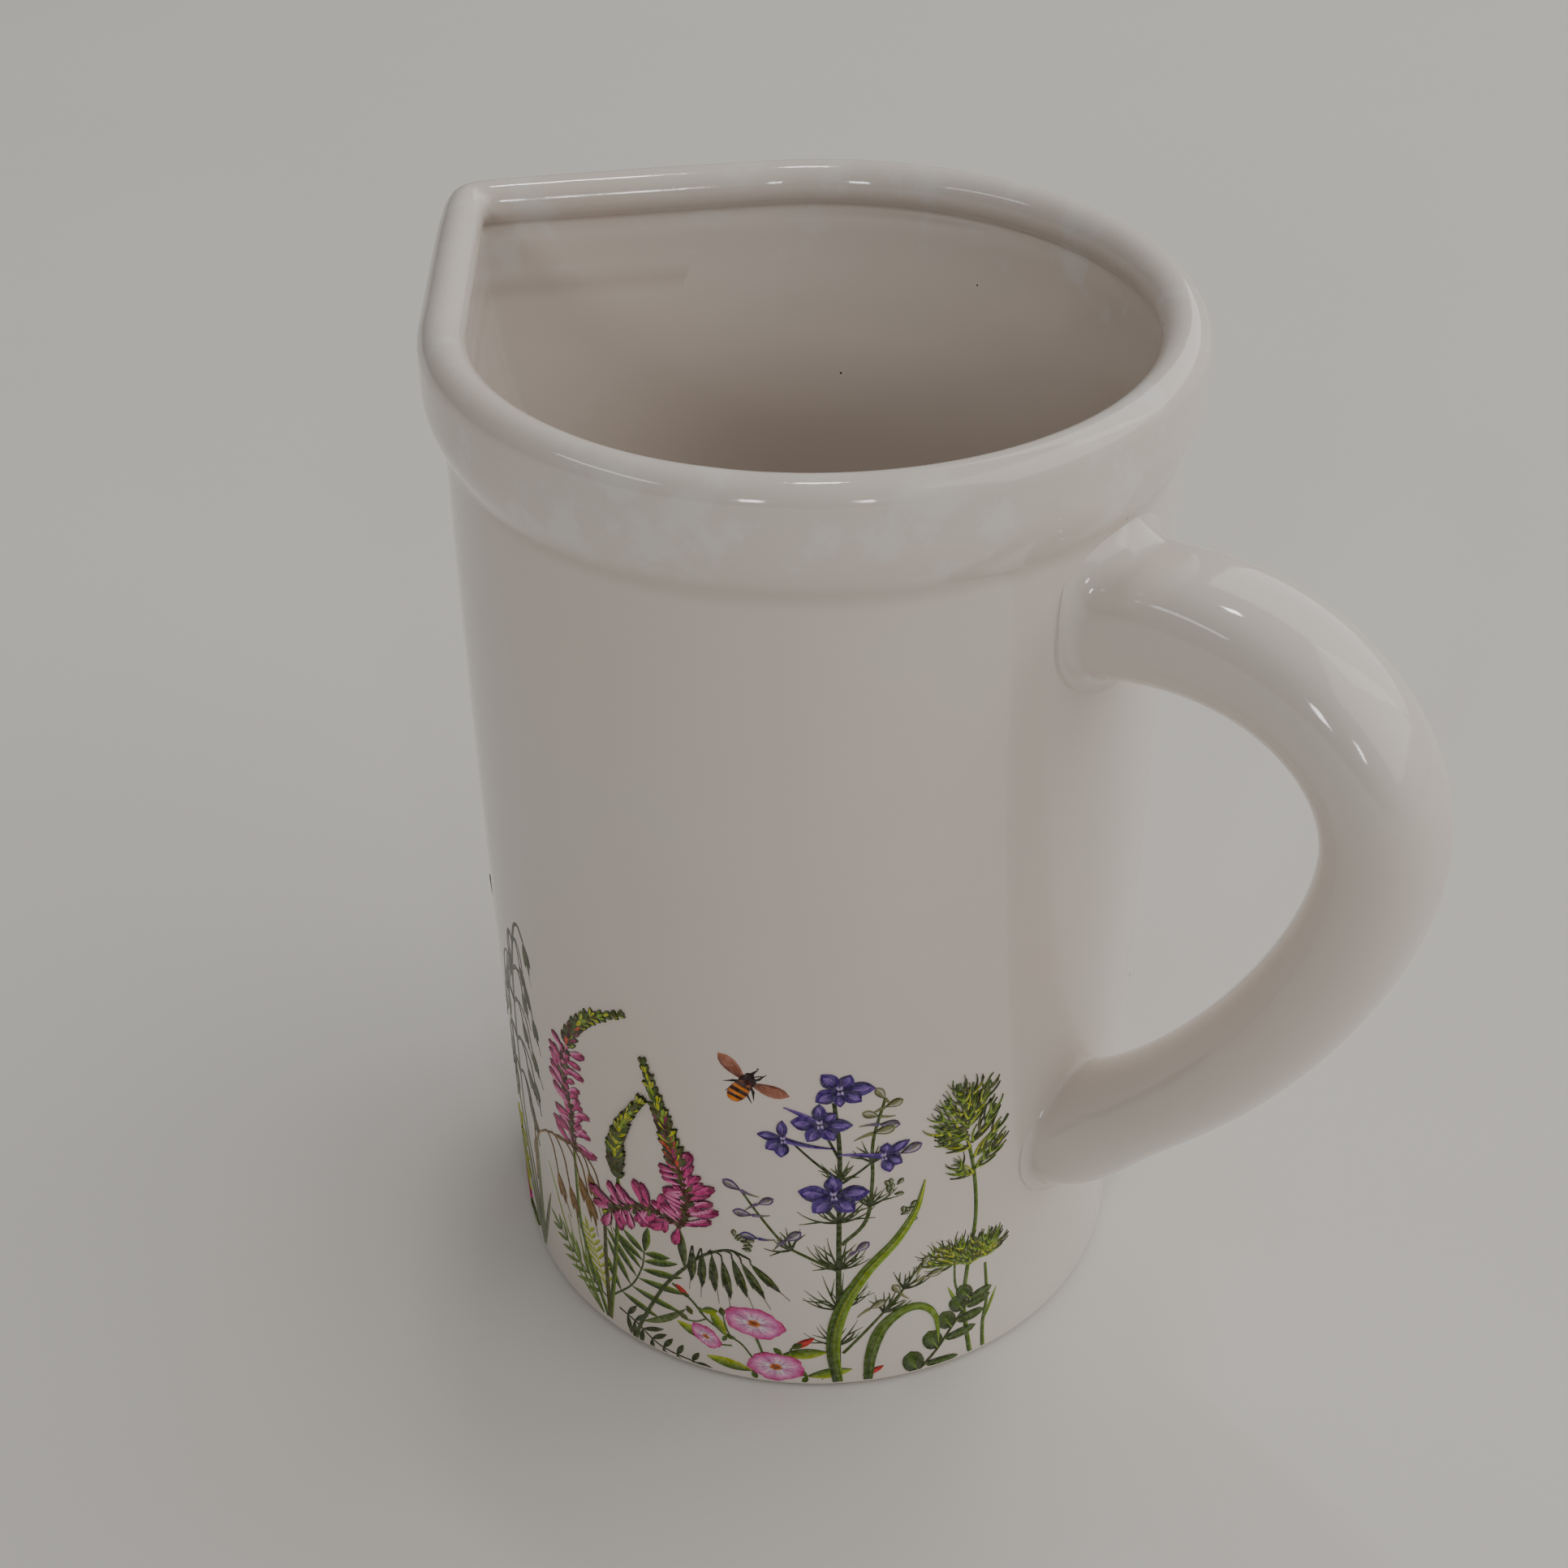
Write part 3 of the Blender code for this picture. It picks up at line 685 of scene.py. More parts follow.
class Plant:
    """One plant of the print, as thin closed strips of ink; the back print is the mirror image."""

    def __init__(self, mirror, seed, lift, slide):
        self.mirror = mirror
        self.slide = slide
        self.random = random.Random(seed)
        self.lift = INK_LIFT + lift + seed * PLANT_STEP
        self.points = []
        self.colours = []
        self.faces = []

    def vary(self, amount):
        return self.random.uniform(-amount, amount)

    def tint(self, name):
        """An ink by name, a little lighter or darker each time."""
        share = 1 + self.vary(TINT_SPREAD)
        return tuple(c * share for c in INKS[name])

    def strip(self, path, widths, middle, left, right):
        """A closed strip along path with half widths and colours per point."""
        self.lift += INK_STEP
        start = len(self.points)
        for i, (x, up) in enumerate(path):
            before, after = path[max(i - 1, 0)], path[min(i + 1, len(path) - 1)]
            dx, dz = after[0] - before[0], after[1] - before[1]
            size = max(hypot(dx, dz), 1e-6)
            nx, nz = -dz / size * widths[i], dx / size * widths[i]
            corners = [(x + nx, up + nz, self.lift, left[i]), (x, up, self.lift, middle[i]),
                       (x - nx, up - nz, self.lift, right[i]), (x - nx, up - nz, -INK_SINK, right[i]),
                       (x + nx, up + nz, -INK_SINK, left[i])]
            for cx, cz, lift, colour in corners:
                self.points.append((cx, max(cz, PRINT_FLOOR), lift))
                self.colours.append(colour)
        sides = 5
        for i in range(len(path) - 1):
            a = start + sides * i
            for k in range(sides):
                j = (k + 1) % sides
                self.faces.append((a + k, a + j, a + sides + j, a + sides + k))
        last = start + sides * (len(path) - 1)
        self.faces.append(tuple(range(start + sides - 1, start - 1, -1)))
        self.faces.append(tuple(range(last, last + sides)))

    def stroke(self, path, width, shape, ink, tip=None, rims=None):
        """A brush stroke: ink turns to tip on its way, and rims are the inks of its two edges."""
        base, end = self.tint(ink), self.tint(tip or ink)
        left, right = (self.tint(name) for name in (rims or (ink, ink)))
        last = len(path) - 1
        shares = [i / last for i in range(last + 1)]
        widths = [max(width / 2 * shape(t), THINNEST) for t in shares]
        middle = [blend(base, end, t) for t in shares]
        rim_share = RIM_SHARE if rims else 0
        lefts, rights = ([blend(m, rim, rim_share) for m in middle] for rim in (left, right))
        self.strip(path, widths, middle, lefts, rights)

    def stem(self, knots, width, ink="stem", tip=None, rims=None):
        path = smooth_path(knots)
        self.stroke(path, width, even, ink, tip, rims or ("ivy", ink))
        return path

    def leaf(self, start, heading, length, width, ink, tip, rims, bend=0, shape=lens):
        self.stroke(bent(start, heading, length, bend, 7), width, shape, ink, tip, rims)

    def bristle(self, start, heading, length, width, ink, tip=None, bend=0, shape=thorn):
        self.stroke(bent(start, heading, length, bend, 5), width, shape, ink, tip)

    def rosette(self, centre, halves, tilt, rings, sectors, wave):
        """A round flower seen at a slant: rings are (share of the radius, colour by turn)."""
        self.lift += INK_STEP
        start = len(self.points)
        lean = radians(tilt)

        def put(share, turn, lift, colour):
            rim = 1 + wave(turn) * share ** 2
            x = halves[0] * cos(turn) * share * rim
            up = halves[1] * sin(turn) * share * rim
            place = (centre[0] + x * cos(lean) - up * sin(lean),
                     max(centre[1] + x * sin(lean) + up * cos(lean), PRINT_FLOOR))
            self.points.append((*place, lift))
            self.colours.append(colour)

        turns = [2 * pi * i / sectors for i in range(sectors)]
        put(0, 0, self.lift, rings[0][1](0))
        for share, colour in rings[1:]:
            for turn in turns:
                put(share, turn, self.lift, colour(turn))
        for turn in turns:
            put(1, turn, -INK_SINK, rings[-1][1](turn))
        put(0, 0, -INK_SINK, rings[0][1](0))
        levels = len(rings)    # the top rings and the lower outline
        for i in range(sectors):
            j = (i + 1) % sectors
            self.faces.append((start, start + 1 + i, start + 1 + j))
            for level in range(levels - 1):
                a = start + 1 + level * sectors
                self.faces.append((a + i, a + sectors + i, a + sectors + j, a + j))
            low = start + 1 + (levels - 1) * sectors
            self.faces.append((low + sectors, low + j, low + i))

    def finish(self, name):
        """Wrap the drawing on the barrel and link it as one piece."""
        across, up, lift = np.array(self.points).T
        turn = self.mirror * (across + self.slide) / PRINT_RADIUS
        z = up * 0.001
        radius = barrel_radius(z) + lift * 0.001
        points = np.column_stack([AXIS_X + radius * np.cos(turn), radius * np.sin(turn), z])
        faces = self.faces if self.mirror > 0 else [tuple(reversed(f)) for f in self.faces]
        piece = new_piece(name, points, faces, INK, 50)
        layer = piece.data.color_attributes.new("ink", "FLOAT_COLOR", "POINT")
        rgba = np.column_stack([np.array(self.colours), np.ones(len(points))])
        layer.data.foreach_set("color", rgba.astype(np.float32).ravel())
        return piece


# ---- Parts of plants ----


def spikelet(p, top, heading, size, dark, light, width=1):
    """An oat's hanging husk: pointed scales with a paler middle, and a long fine awn."""
    for turn, share in ((-11, 0.84), (10, 0.78)):
        p.leaf(top, heading + turn, 8 * size * share, 1.1 * size * width, dark, dark, (dark, light))
    p.leaf(top, heading, 8 * size, size * width, light, dark, (dark, dark))
    p.bristle(top, heading + p.vary(5), 11 * size, 0.26 * width, dark)


def hanging(p, start, reach, rise, drop, size, dark, light, width):
    """A fine arched stalk that ends in a hanging spikelet."""
    x, up = start
    knots = [start, (x + reach * 0.45, up + rise), (x + reach * 0.85, up + rise * 0.55 - drop * 0.3),
             (x + reach, up - drop)]
    p.stroke(smooth_path(knots, 4), 0.36 * width, even, dark, dark)
    spikelet(p, knots[-1], -86 + copysign(12, reach) + p.vary(6), size, dark, light, width)


def pea_flower(p, start, heading, size, pale):
    """A vetch floret: a dark calyx and keel under a pale standard and a pink wing."""
    p.bristle(start, heading, 1.9 * size, size, "wine", "olive")
    begin = ahead(start, heading, 0.7 * size)
    bend = p.vary(24)
    length = 4.3 * size * (1 + p.vary(0.12))
    for turn, long, wide, ink, tip, rims in (
            (0, 1.04, 1.65, "plum", "magenta", ("wine", "plum")),
            (7, 0.92, 0.85, pale, "pink", (pale, "magenta")),
            (-7, 1.00, 0.62, "pink", "magenta", ("pink", "plum"))):
        p.leaf(begin, heading + turn, length * long, wide * size, ink, tip, rims, bend, petal)


def bract(p, start, heading, size, inks):
    """One scale of a bud spike, with a dark rim that parts it from the next."""
    ink = p.random.choice(inks)
    bend = p.vary(16)
    p.leaf(start, heading, 3.3 * size, 1.45 * size, "moss", "moss", ("pine", "moss"), bend)
    p.leaf(start, heading, 3 * size, 0.98 * size, ink, ink, (ink, ink), bend)


def pea_spike(p, knots, flower_rows, bud_rows, size, splay=62, taper=0.75):
    """Open florets below, red buds above them, and tight green bracts to the tip."""
    path = smooth_path(knots, 8)
    p.stroke(path, 0.7, even, "olive", "lime", ("moss", "olive"))
    rows = flower_rows + bud_rows
    for i in range(rows):
        point, heading = along(path, (i + 0.3) / rows)
        if i < flower_rows:
            share = size * (1 - (1 - taper) * i / rows)
            for side in (-1, 1, 0.3 * (-1) ** i):
                pea_flower(p, point, heading + side * (splay + p.vary(28)) + 4,
                           share * (1 + p.vary(0.25)), p.random.choice(("blush", "blush", "pink")))
            bract(p, point, heading + p.vary(60), 0.6 * size, ("moss", "olive", "wine"))
        else:
            near_tip = (i - flower_rows + 1) / bud_rows
            share = size * (1 - 0.5 * near_tip ** 1.5)
            spread = 46 * (1 - 0.45 * near_tip ** 2)
            for side in BRACT_SIDES:
                inks = TIP_INKS if p.random.random() < near_tip * 1.6 else BUD_INKS
                bract(p, point, heading + side * spread + p.vary(10), share * 0.88, inks)


def green_spike(p, knots, rows, size):
    """A spike that is all bracts, dark at its foot."""
    path = smooth_path(knots, 8)
    for i in range(rows):
        t = i / rows
        point, heading = along(path, t)
        share = size * (1 - 0.5 * t ** 1.5) * (0.7 + 0.3 * min(t * 5, 1))
        inks = ("wine", "olive", "moss") if t < 0.22 else TIP_INKS
        for side in BRACT_SIDES:
            bract(p, point, heading + side * (40 - 16 * t) + p.vary(8), share, inks)


def pinnate(p, knots, pairs, length, width, inks, angle):
    """A leaf of narrow leaflets in pairs; inks are stalk, leaflet, its tip, dark rim, light rim."""
    stalk, ink, tip, dark, light = inks
    path = p.stem(knots, 0.5, stalk)
    for i in range(pairs):
        t = FIRST_LEAFLET + (LAST_LEAFLET - FIRST_LEAFLET) * i / (pairs - 1)
        point, heading = along(path, t)
        size = length * (0.72 + 0.5 * sin(pi * min(t + 0.12, 1)))
        for side in (-1, 1):
            rims = (dark, light) if side > 0 else (light, dark)
            p.leaf(point, heading + side * angle + p.vary(5), size * (1 + p.vary(0.1)), width, ink, tip, rims)
    point, heading = along(path, 1)
    p.leaf(point, heading, length * 0.8, width, ink, tip, (dark, light))


def needles(p, start, heading, count, length, spread):
    """A fan of fine forked needle leaves that curve upwards."""
    for i in range(count):
        turn = heading + spread * (i / max(count - 1, 1) - 0.5) + p.vary(7)
        size = length * (0.6 + 0.4 * p.random.random())
        path = bent(start, turn, size, (90 - turn) * 0.55 + p.vary(12), 6)
        p.stroke(path, 0.56, thorn, "ivy", "stem")
        fork, way = along(path, 0.4)
        p.bristle(fork, way + copysign(27, p.vary(1)), size * 0.48, 0.42, "ivy", "leaf")


def needle_pair(p, path, t, turn, count, length, spread):
    """Needles on both sides of a stem."""
    point, heading = along(path, t)
    for side in (turn, -turn):
        needles(p, point, heading + side, count, length, spread)


def larkspur_flower(p, centre, size, petals, spur, spur_length):
    """Broad pointed petals with dark veins, a pale eye and one long spur."""
    p.stroke(bent(centre, spur, spur_length, 14, 7), 1.5 * size, thorn, "violet", "violet",
             ("indigo", "lilac"))
    for heading, length, width in petals:
        bend = p.vary(14)
        p.leaf(centre, heading, length * size * 1.1, width * size * 1.15, "indigo", "violet",
               ("indigo", "violet"), bend, pointed)
        p.leaf(ahead(centre, heading, length * size * 0.3), heading + 4, length * size * 0.66,
               width * size * 0.5, "violet", "lilac", ("violet", "lilac"), bend, pointed)
        for turn in (-12, 0, 11):
            p.bristle(centre, heading + turn + p.vary(3), length * size * 0.74, 0.3, "indigo")
    for turn in (70, 120, 250, 300):
        p.leaf(centre, turn, 1.3 * size, 0.7 * size, "pearl", "lilac", ("lilac", "violet"))
    throat = (centre[0], centre[1] + 0.3 * size)
    p.leaf(throat, -90, size, 0.5 * size, "indigo", "indigo", None)


def spurred_bud(p, start, heading, size, ink, tail=1):
    """A closed larkspur bud, round in front and drawn out into a thin tail."""
    p.leaf(start, heading, 4.4 * size, 2.4 * size, "ivy", ink, ("ivy", ink), 0, petal)
    p.leaf(ahead(start, heading, 0.5 * size), heading, 3.4 * size, 1.5 * size, ink, "bud",
           (ink, "pearl"), 0, petal)
    if tail:
        p.bristle(start, heading + 180, 4 * size * tail, 0.9 * size, ink, "bud", 24)


def trumpet(p, centre, halves, tilt, shift):
    """A bindweed flower: mauve pink in soft pale patches, a darker rim and a small golden throat."""
    def folded(light, dark):
        """Ink by turn, between light on the folds and dark beside them."""
        def colour(turn):
            fold = 0.5 + 0.3 * cos(5 * (turn - shift)) + 0.2 * sin(3 * turn + 2 * shift)
            return blend(INKS[light], INKS[dark], fold ** 1.5)
        return colour

    def wave(turn):
        return 0.05 * cos(5 * (turn - shift)) + 0.025 * sin(13 * turn + shift)

    rings = [(0, folded("rust", "rust")), (0.08, folded("rust", "rust")), (0.17, folded("amber", "rust")),
             (0.27, folded("pearl", "rose")), (0.46, folded("pearl", "rose")),
             (0.7, folded("blush", "rose")), (0.9, folded("rose", "pink")),
             (1, folded("pink", "magenta"))]
    p.rosette(centre, halves, tilt, rings, 60, wave)
    lean = radians(tilt)
    for i in range(15):
        turn = shift + 2 * pi * i / 15
        x, up = halves[0] * cos(turn), halves[1] * sin(turn)
        way = atan2(x * sin(lean) + up * cos(lean), x * cos(lean) - up * sin(lean))
        reach = hypot(x, up)
        start = (centre[0] + cos(way) * reach * 0.38, centre[1] + sin(way) * reach * 0.38)
        p.bristle(start, degrees(way), reach * (0.3 + 0.12 * (i % 3)), 0.24, "rose", "pink")
    for i in range(7):
        p.bristle(centre, p.random.uniform(0, 360), halves[1] * 0.3, 0.36, "rust", "amber")


def arrow_leaf(p, start, heading, length, width):
    """A bindweed leaf: a long blade with two short lobes at its foot."""
    for side in (-1, 1):
        p.leaf(start, heading + side * 125, length * 0.26, width * 0.45, "leaf", "leaf",
               ("pine", "leaf"))
    p.leaf(start, heading, length, width, "leaf", "sap", ("pine", "lime"), p.vary(16))
    p.bristle(start, heading, length * 0.85, 0.22, "sap", "lime")


def red_bud(p, start, heading, size):
    p.leaf(start, heading, 5.4 * size, 1.7 * size, "coral", "red", ("wine", "red"), 8)
    p.leaf(start, heading + 4, 2.6 * size, 1.5 * size, "leaf", "moss", ("pine", "olive"))


def plume(p, start, heading, length, needle, bend):
    """A branchlet with long curved needles up both sides, dark ones behind light ones."""
    path = bent(start, heading, length, bend, 8)
    p.stroke(path, 0.5, even, "moss", "leaf")
    for i in range(4):
        t = 0.05 + 0.95 * i / 4
        point, way = along(path, t)
        size = needle * (1 - 0.3 * t)
        for side in (-1, 1):
            light = p.random.choice(("lime", "sap", "olive"))
            for ink, tip in (("moss", "pine"), (light, "leaf")):
                p.bristle(point, way + side * (44 + p.vary(18)), size * (1 + p.vary(0.25)), 0.46, ink, tip,
                          -side * 52)


def tuft(p, root, lean, rise, tips, ink, tip_ink, rims):
    """Grass blades from one root; tips are (end, width), and each blade's middle leans aside."""
    for tip, width in tips:
        middle = ((tip[0] + root[0]) / 2 + lean, tip[1] * rise)
        p.stroke(smooth_path([root, middle, tip]), width, blade, ink, tip_ink, rims)


# ---- The plants, in their places from the handle's side leftwards ----


def draw_feather_grass(p):
    p.stem([(-20, 1), (-20.5, 9), (-20, 16), (-21, 26)], 1, *GRASS_STEM)
    p.leaf((-20.5, 9), 72, 9, 0.9, *GRASS_BLADE)
    tall = [(-23, 1), (-24.5, 10), (-25.5, 18), (-25, 28), (-24, 40), (-25, 52), (-27, 62)]
    p.stem(tall, 1.1, *GRASS_STEM)
    p.stem([(-25.5, 17), (-27.5, 23), (-28, 29)], 0.6, "leaf")
    p.leaf((-25.5, 14), 112, 10, 0.9, *GRASS_BLADE)
    # low heads from one point each, then the tall head up its stem: heading, length and bend
    for start, needle, branches in (
            ((-28, 29), 4.6, ((172, 7, -30), (152, 8, -30), (130, 7, -20), (108, 6, 0), (84, 6, 0),
                              (62, 5, 20))),
            ((-24.5, 27.5), 4.4, ((140, 7, -10), (112, 7, -6), (84, 7, 0), (60, 6, 10))),
            ((-21, 28), 3.8, ((140, 5, -30), (100, 6, -10), (64, 6, 12), (30, 4, 30), (80, 4, 0)))):
        for heading, length, bend in branches:
            plume(p, start, heading, length, needle, bend)
    for start, heading, length, bend in (
            ((-25, 52), 168, 5, -60), ((-25, 53), 34, 8, 26), ((-25.5, 56), 40, 8, 22),
            ((-26, 59), 160, 7, -24), ((-26, 60), 46, 9, 24), ((-26.5, 62), 172, 8, -40),
            ((-27, 63), 148, 9, -28), ((-27, 64), 128, 10, -16), ((-27, 65), 60, 10, 10),
            ((-27, 65), 108, 11, -10), ((-27, 64), 84, 11, 6), ((-27, 66), 96, 10, 12)):
        plume(p, start, heading, length, 5, bend)


def draw_oval_sprig(p):
    path = p.stem([(-35, 1), (-31, 6), (-28, 11), (-25.5, 15), (-24, 18)], 0.6, "moss")
    for t, side, length, width in (
            (0.02, 1, 6.5, 4.4), (0.1, -1, 7.5, 2.3), (0.28, 1, 6, 4.1), (0.38, -1, 7.2, 2.5),
            (0.52, 1, 5.6, 3.9), (0.6, -1, 6.4, 2.7), (0.76, 1, 5.2, 3.7), (0.82, -1, 5.8, 2.6),
            (0.99, 1, 5, 3.4), (0.98, -1, 5.2, 2.5)):
        point, heading = along(path, t)
        way, bend = heading + side * 62, side * -14
        p.leaf(point, way, length, width, "pine", "leaf", ("pine", "moss"), bend, oval)
        p.leaf(ahead(point, way, length * 0.2), way, length * 0.65, width * 0.4, "leaf", "leaf",
               ("leaf", "pine"), bend)
        p.bristle(point, way, length * 0.9, 0.2, "sap", "leaf", bend)


def draw_grass_blades(p):
    tall = smooth_path([(-51, 2), (-52, 12), (-50.5, 22), (-46, 32), (-40, 40), (-36.5, 47), (-35, 54)], 8)
    p.stroke(tall, 3.7, blade, "pine", "sap", ("leaf", "sap"))
    for shift, ink, tip in ((0.75, "leaf", "sap"), (-0.8, "pine", "leaf"), (0.1, "leaf", "lime")):
        vein = [(x + shift * thorn(i / len(tall)), up) for i, (x, up) in enumerate(tall)]
        p.stroke(vein, 0.3, even, ink, tip)
    arch = [(-45, 2), (-44.5, 9), (-42.5, 16), (-38.5, 20), (-34.5, 20), (-31.5, 16), (-30.5, 8)]
    arch = smooth_path(arch, 8)
    p.stroke(arch, 3.3, blade, "pine", "sap", ("leaf", "leaf"))
    p.stroke([(x + 0.4, up) for x, up in arch[:-10]], 0.3, even, "leaf", "sap")


def draw_larkspur(p):
    main = p.stem([(-51, 2), (-51, 18), (-51, 33), (-51, 46), (-51, 64), (-52, 76)], 1.2, "stem", "ivy")
    right = p.stem([(-50.5, 40), (-46, 46), (-45, 56), (-45, 66), (-43, 76)], 0.85)
    left = p.stem([(-51, 33), (-57, 37), (-61, 40), (-65, 46), (-69, 53)], 0.7)
    low = p.stem([(-50, 10), (-44, 18), (-39, 25), (-35, 32)], 0.7)
    for knots in ([(-51, 57), (-55, 61), (-60, 67)], [(-51, 62), (-53, 67), (-55, 71)],
                  [(-50.5, 56), (-47, 59), (-44, 62)]):
        p.stem(knots, 0.6, "ivy")
    for t, count, length, spread in ((0.13, 4, 8, 75), (0.26, 5, 10, 82.5), (0.41, 6, 9, 85),
                                     (0.6, 5, 9, 85), (0.72, 3, 6, 55)):
        needle_pair(p, main, t, 48, count, length, spread)
    for path, t, count in ((right, 0.35, 6), (right, 0.62, 4), (left, 0.42, 5), (low, 0.45, 6),
                           (low, 0.72, 5)):
        needles(p, *along(path, t), count, 6.5, 130)
    for start, heading, size, ink in (
            ((-69, 53), 150, 0.9, "mauve"), ((-66, 50), 30, 0.8, "mauve"), ((-67, 47), 175, 0.85, "mauve"),
            ((-61, 41), 40, 0.9, "mauve"), ((-66, 41), 170, 0.8, "violet"), ((-43, 76), 120, 0.75, "bud"),
            ((-43, 74), 20, 0.8, "bud"), ((-44, 72), 160, 0.75, "bud"), ((-44, 70), -10, 0.9, "mauve"),
            ((-45, 68), 12, 0.95, "bud"), ((-40, 62), 20, 1, "mauve"), ((-48, 38), 40, 0.8, "mauve"),
            ((-35, 31), 60, 0.7, "bud"), ((-34, 28), 10, 0.8, "bud"), ((-39, 25), 120, 0.7, "bud"),
            ((-45, 22), 30, 0.8, "bud")):
        spurred_bud(p, start, heading, size, ink)
    for x, up in ((-42, 53), (-38, 46), (-70, 39)):
        for i in range(7):
            spurred_bud(p, (x + p.vary(1.6), up + p.vary(1.8)), 60 + p.vary(70), 0.42, "stem", 0)
    # centre, size, petals as (heading, length, width), the spur's heading and length
    for flower in (
            ((-52, 53), 1, ((90, 4.6, 3), (172, 6, 3.6), (8, 6, 3.6), (-128, 5.2, 3.4),
                              (-52, 5.2, 3.4)), 88, 6),
            ((-51, 79), 0.95, ((128, 4.8, 3), (58, 3.8, 2.6), (4, 6, 3), (-150, 4.8, 3.2),
                               (-35, 4.6, 2.9), (-95, 3.8, 2)), -90, 3.5),
            ((-54.5, 71), 0.95, ((95, 4.6, 2.4), (45, 3.6, 2.4), (176, 5, 3.2), (-8, 5.6, 2.8),
                                 (-112, 4.6, 2.8), (-55, 4.6, 2.8)), 142, 7.5),
            ((-61, 67), 0.8, ((98, 5.2, 2.2), (162, 5.4, 2.2), (-140, 4.6, 3), (-100, 5, 3)),
             -20, 9.5),
            ((-43, 62), 0.85, ((38, 6, 2.2), (80, 3.4, 2.4), (-32, 4.4, 2.8), (-68, 4.6, 2.6)), 164, 8.5)):
        larkspur_flower(p, *flower)


def draw_bindweed(p):
    for knots, width in (
            ([(-84, 23), (-80, 20), (-77, 16), (-73, 13), (-70, 11), (-67.5, 7)], 0.42),
            ([(-77, 16), (-79, 14.5), (-81, 14)], 0.3), ([(-67, 13.5), (-66, 10), (-65.5, 7)], 0.55),
            ([(-72, 10), (-75, 9.5), (-77, 9.5)], 0.3), ([(-63, 5), (-61, 9), (-60, 11.5)], 0.5),
            ([(-72, 12), (-73, 15), (-73.5, 18)], 0.3)):
        p.stem(knots, width, "leaf")
    for start, heading, length, width in (
            ((-73, 12.5), 118, 7, 2.2), ((-78, 18), 20, 3.6, 1.9), ((-77, 10), 158, 7, 2.3),
            ((-68, 3.8), 168, 9.5, 2.6), ((-62, 9.5), 8, 9, 2.8), ((-57, 3.6), 12, 9, 2.6)):
        arrow_leaf(p, start, heading, length, width)
    for start, heading, size in (((-60, 11.5), 32, 1), ((-46, 3.2), 22, 0.85), ((-80.5, 20.5), 132, 0.7)):
        red_bud(p, start, heading, size)
    for start, heading in (((-81, 14), 145), ((-80, 16), 120), ((-73.5, 18), 100)):
        p.leaf(start, heading, 2.3, 1.3, "leaf", "moss", ("pine", "olive"))
    for centre, halves, tilt, shift in (
            ((-77.3, 11), (3.6, 2.3), -42, 0.5), ((-67.3, 17.6), (6, 3.9), -14, 0.2),
            ((-63.2, 5.9), (5.6, 3.8), -4, 0.9)):
        trumpet(p, centre, halves, tilt, shift)


def draw_dark_oat(p):
    arch = [(-94, 2), (-92, 8), (-86, 21), (-81, 28.5), (-77, 33.5), (-72, 36.5), (-68.5, 35.5)]
    path = p.stem(arch, 0.85, "stem", "ivy")
    p.leaf((-81, 28.5), 92, 11.5, 1.9, "sage", "ivy", ("ivy", "celadon"), 6)
    p.leaf((-92, 8), 28, 14, 1.7, "celadon", "sage", ("sage", "celadon"), 24)
    for x, heading, length in ((-79, -95, 8.5), (-77.2, -92, 9.5), (-75.2, -88, 10), (-73.2, -82, 10.5),
                               (-71.2, -75, 10.5), (-69.4, -64, 10), (-67.6, -51, 9)):
        top = (x, 34 + p.vary(0.6))
        joint = min(path, key=lambda q: abs(q[0] - x + 1.2))
        p.stroke(smooth_path([joint, (x - 0.2, top[1] + 1.2), top], 4), 0.42, even, "ivy")
        p.leaf(top, heading, length, 1.75, "pine", "ivy", ("pine", "moss"))
        p.leaf(top, heading + 4, length * 0.85, 0.65, "sage", "rush", None)
        p.leaf(top, heading - 8, length * 0.72, 0.6, "sage", "pine", None)
        p.bristle(top, heading + p.vary(3), length * 1.3, 0.28, "ivy")


def draw_ferns(p):
    greens = ("stem", "pine", "leaf", "pine", "sap")
    limes = ("lime", "sap", "lime", "olive", "lime")
    pale = ("stem", "leaf", "sap", "pine", "leaf")
    for knots, pairs, length, width, inks, angle in (
            ([(-100, 10), (-94, 17), (-91, 23.5), (-90, 28.5)], 6, 9.4, 1.9, greens, 62),
            ([(-101, 10), (-103, 18), (-105, 25)], 8, 4.2, 0.8, limes, 50),
            ([(-100, 8), (-108, 12), (-116, 17)], 7, 5.6, 1.1, pale, 48),
            ([(-98, 8), (-93.5, 6.5), (-88, 3.2), (-80, 2.2)], 7, 4.6, 1.25, DARK_FERN, 68)):
        pinnate(p, knots, pairs, length, width, inks, angle)
    tips = (((-112, 24), 0.8), ((-109, 30), 0.7), ((-107, 24), 0.8), ((-115, 20), 0.7), ((-118, 34), 0.9))
    tuft(p, (-103, 3), -1.5, 0.5, tips, *GRASS_BLADE)


def draw_pink_spikes(p):
    p.stem([(-101, 3), (-98, 20), (-96, 35), (-94.8, 48)], 1.2, *GRASS_STEM)
    p.stem([(-101.5, 3), (-106, 18), (-107.5, 28), (-107, 46)], 1.1, *GRASS_STEM)
    p.stem([(-101, 3), (-100.5, 20), (-99.5, 34)], 1.2, "olive", "moss")
    left = [(-107, 45), (-106.5, 54), (-108, 64), (-105, 75), (-99, 83), (-90.5, 88.5)]
    pea_spike(p, left, 14, 12, 1.12)
    pea_spike(p, [(-81, 40), (-87, 41.5), (-94, 38.5), (-99.5, 34)], 11, 1, 1.12, 74, 1)
    pea_spike(p, [(-81, 40), (-79.5, 48), (-81.5, 58), (-84, 68), (-87, 79.5)], 12, 16, 1.16, 66)
    green_spike(p, [(-95, 46), (-94.8, 53), (-92.5, 61), (-87.5, 70)], 19, 1.1)


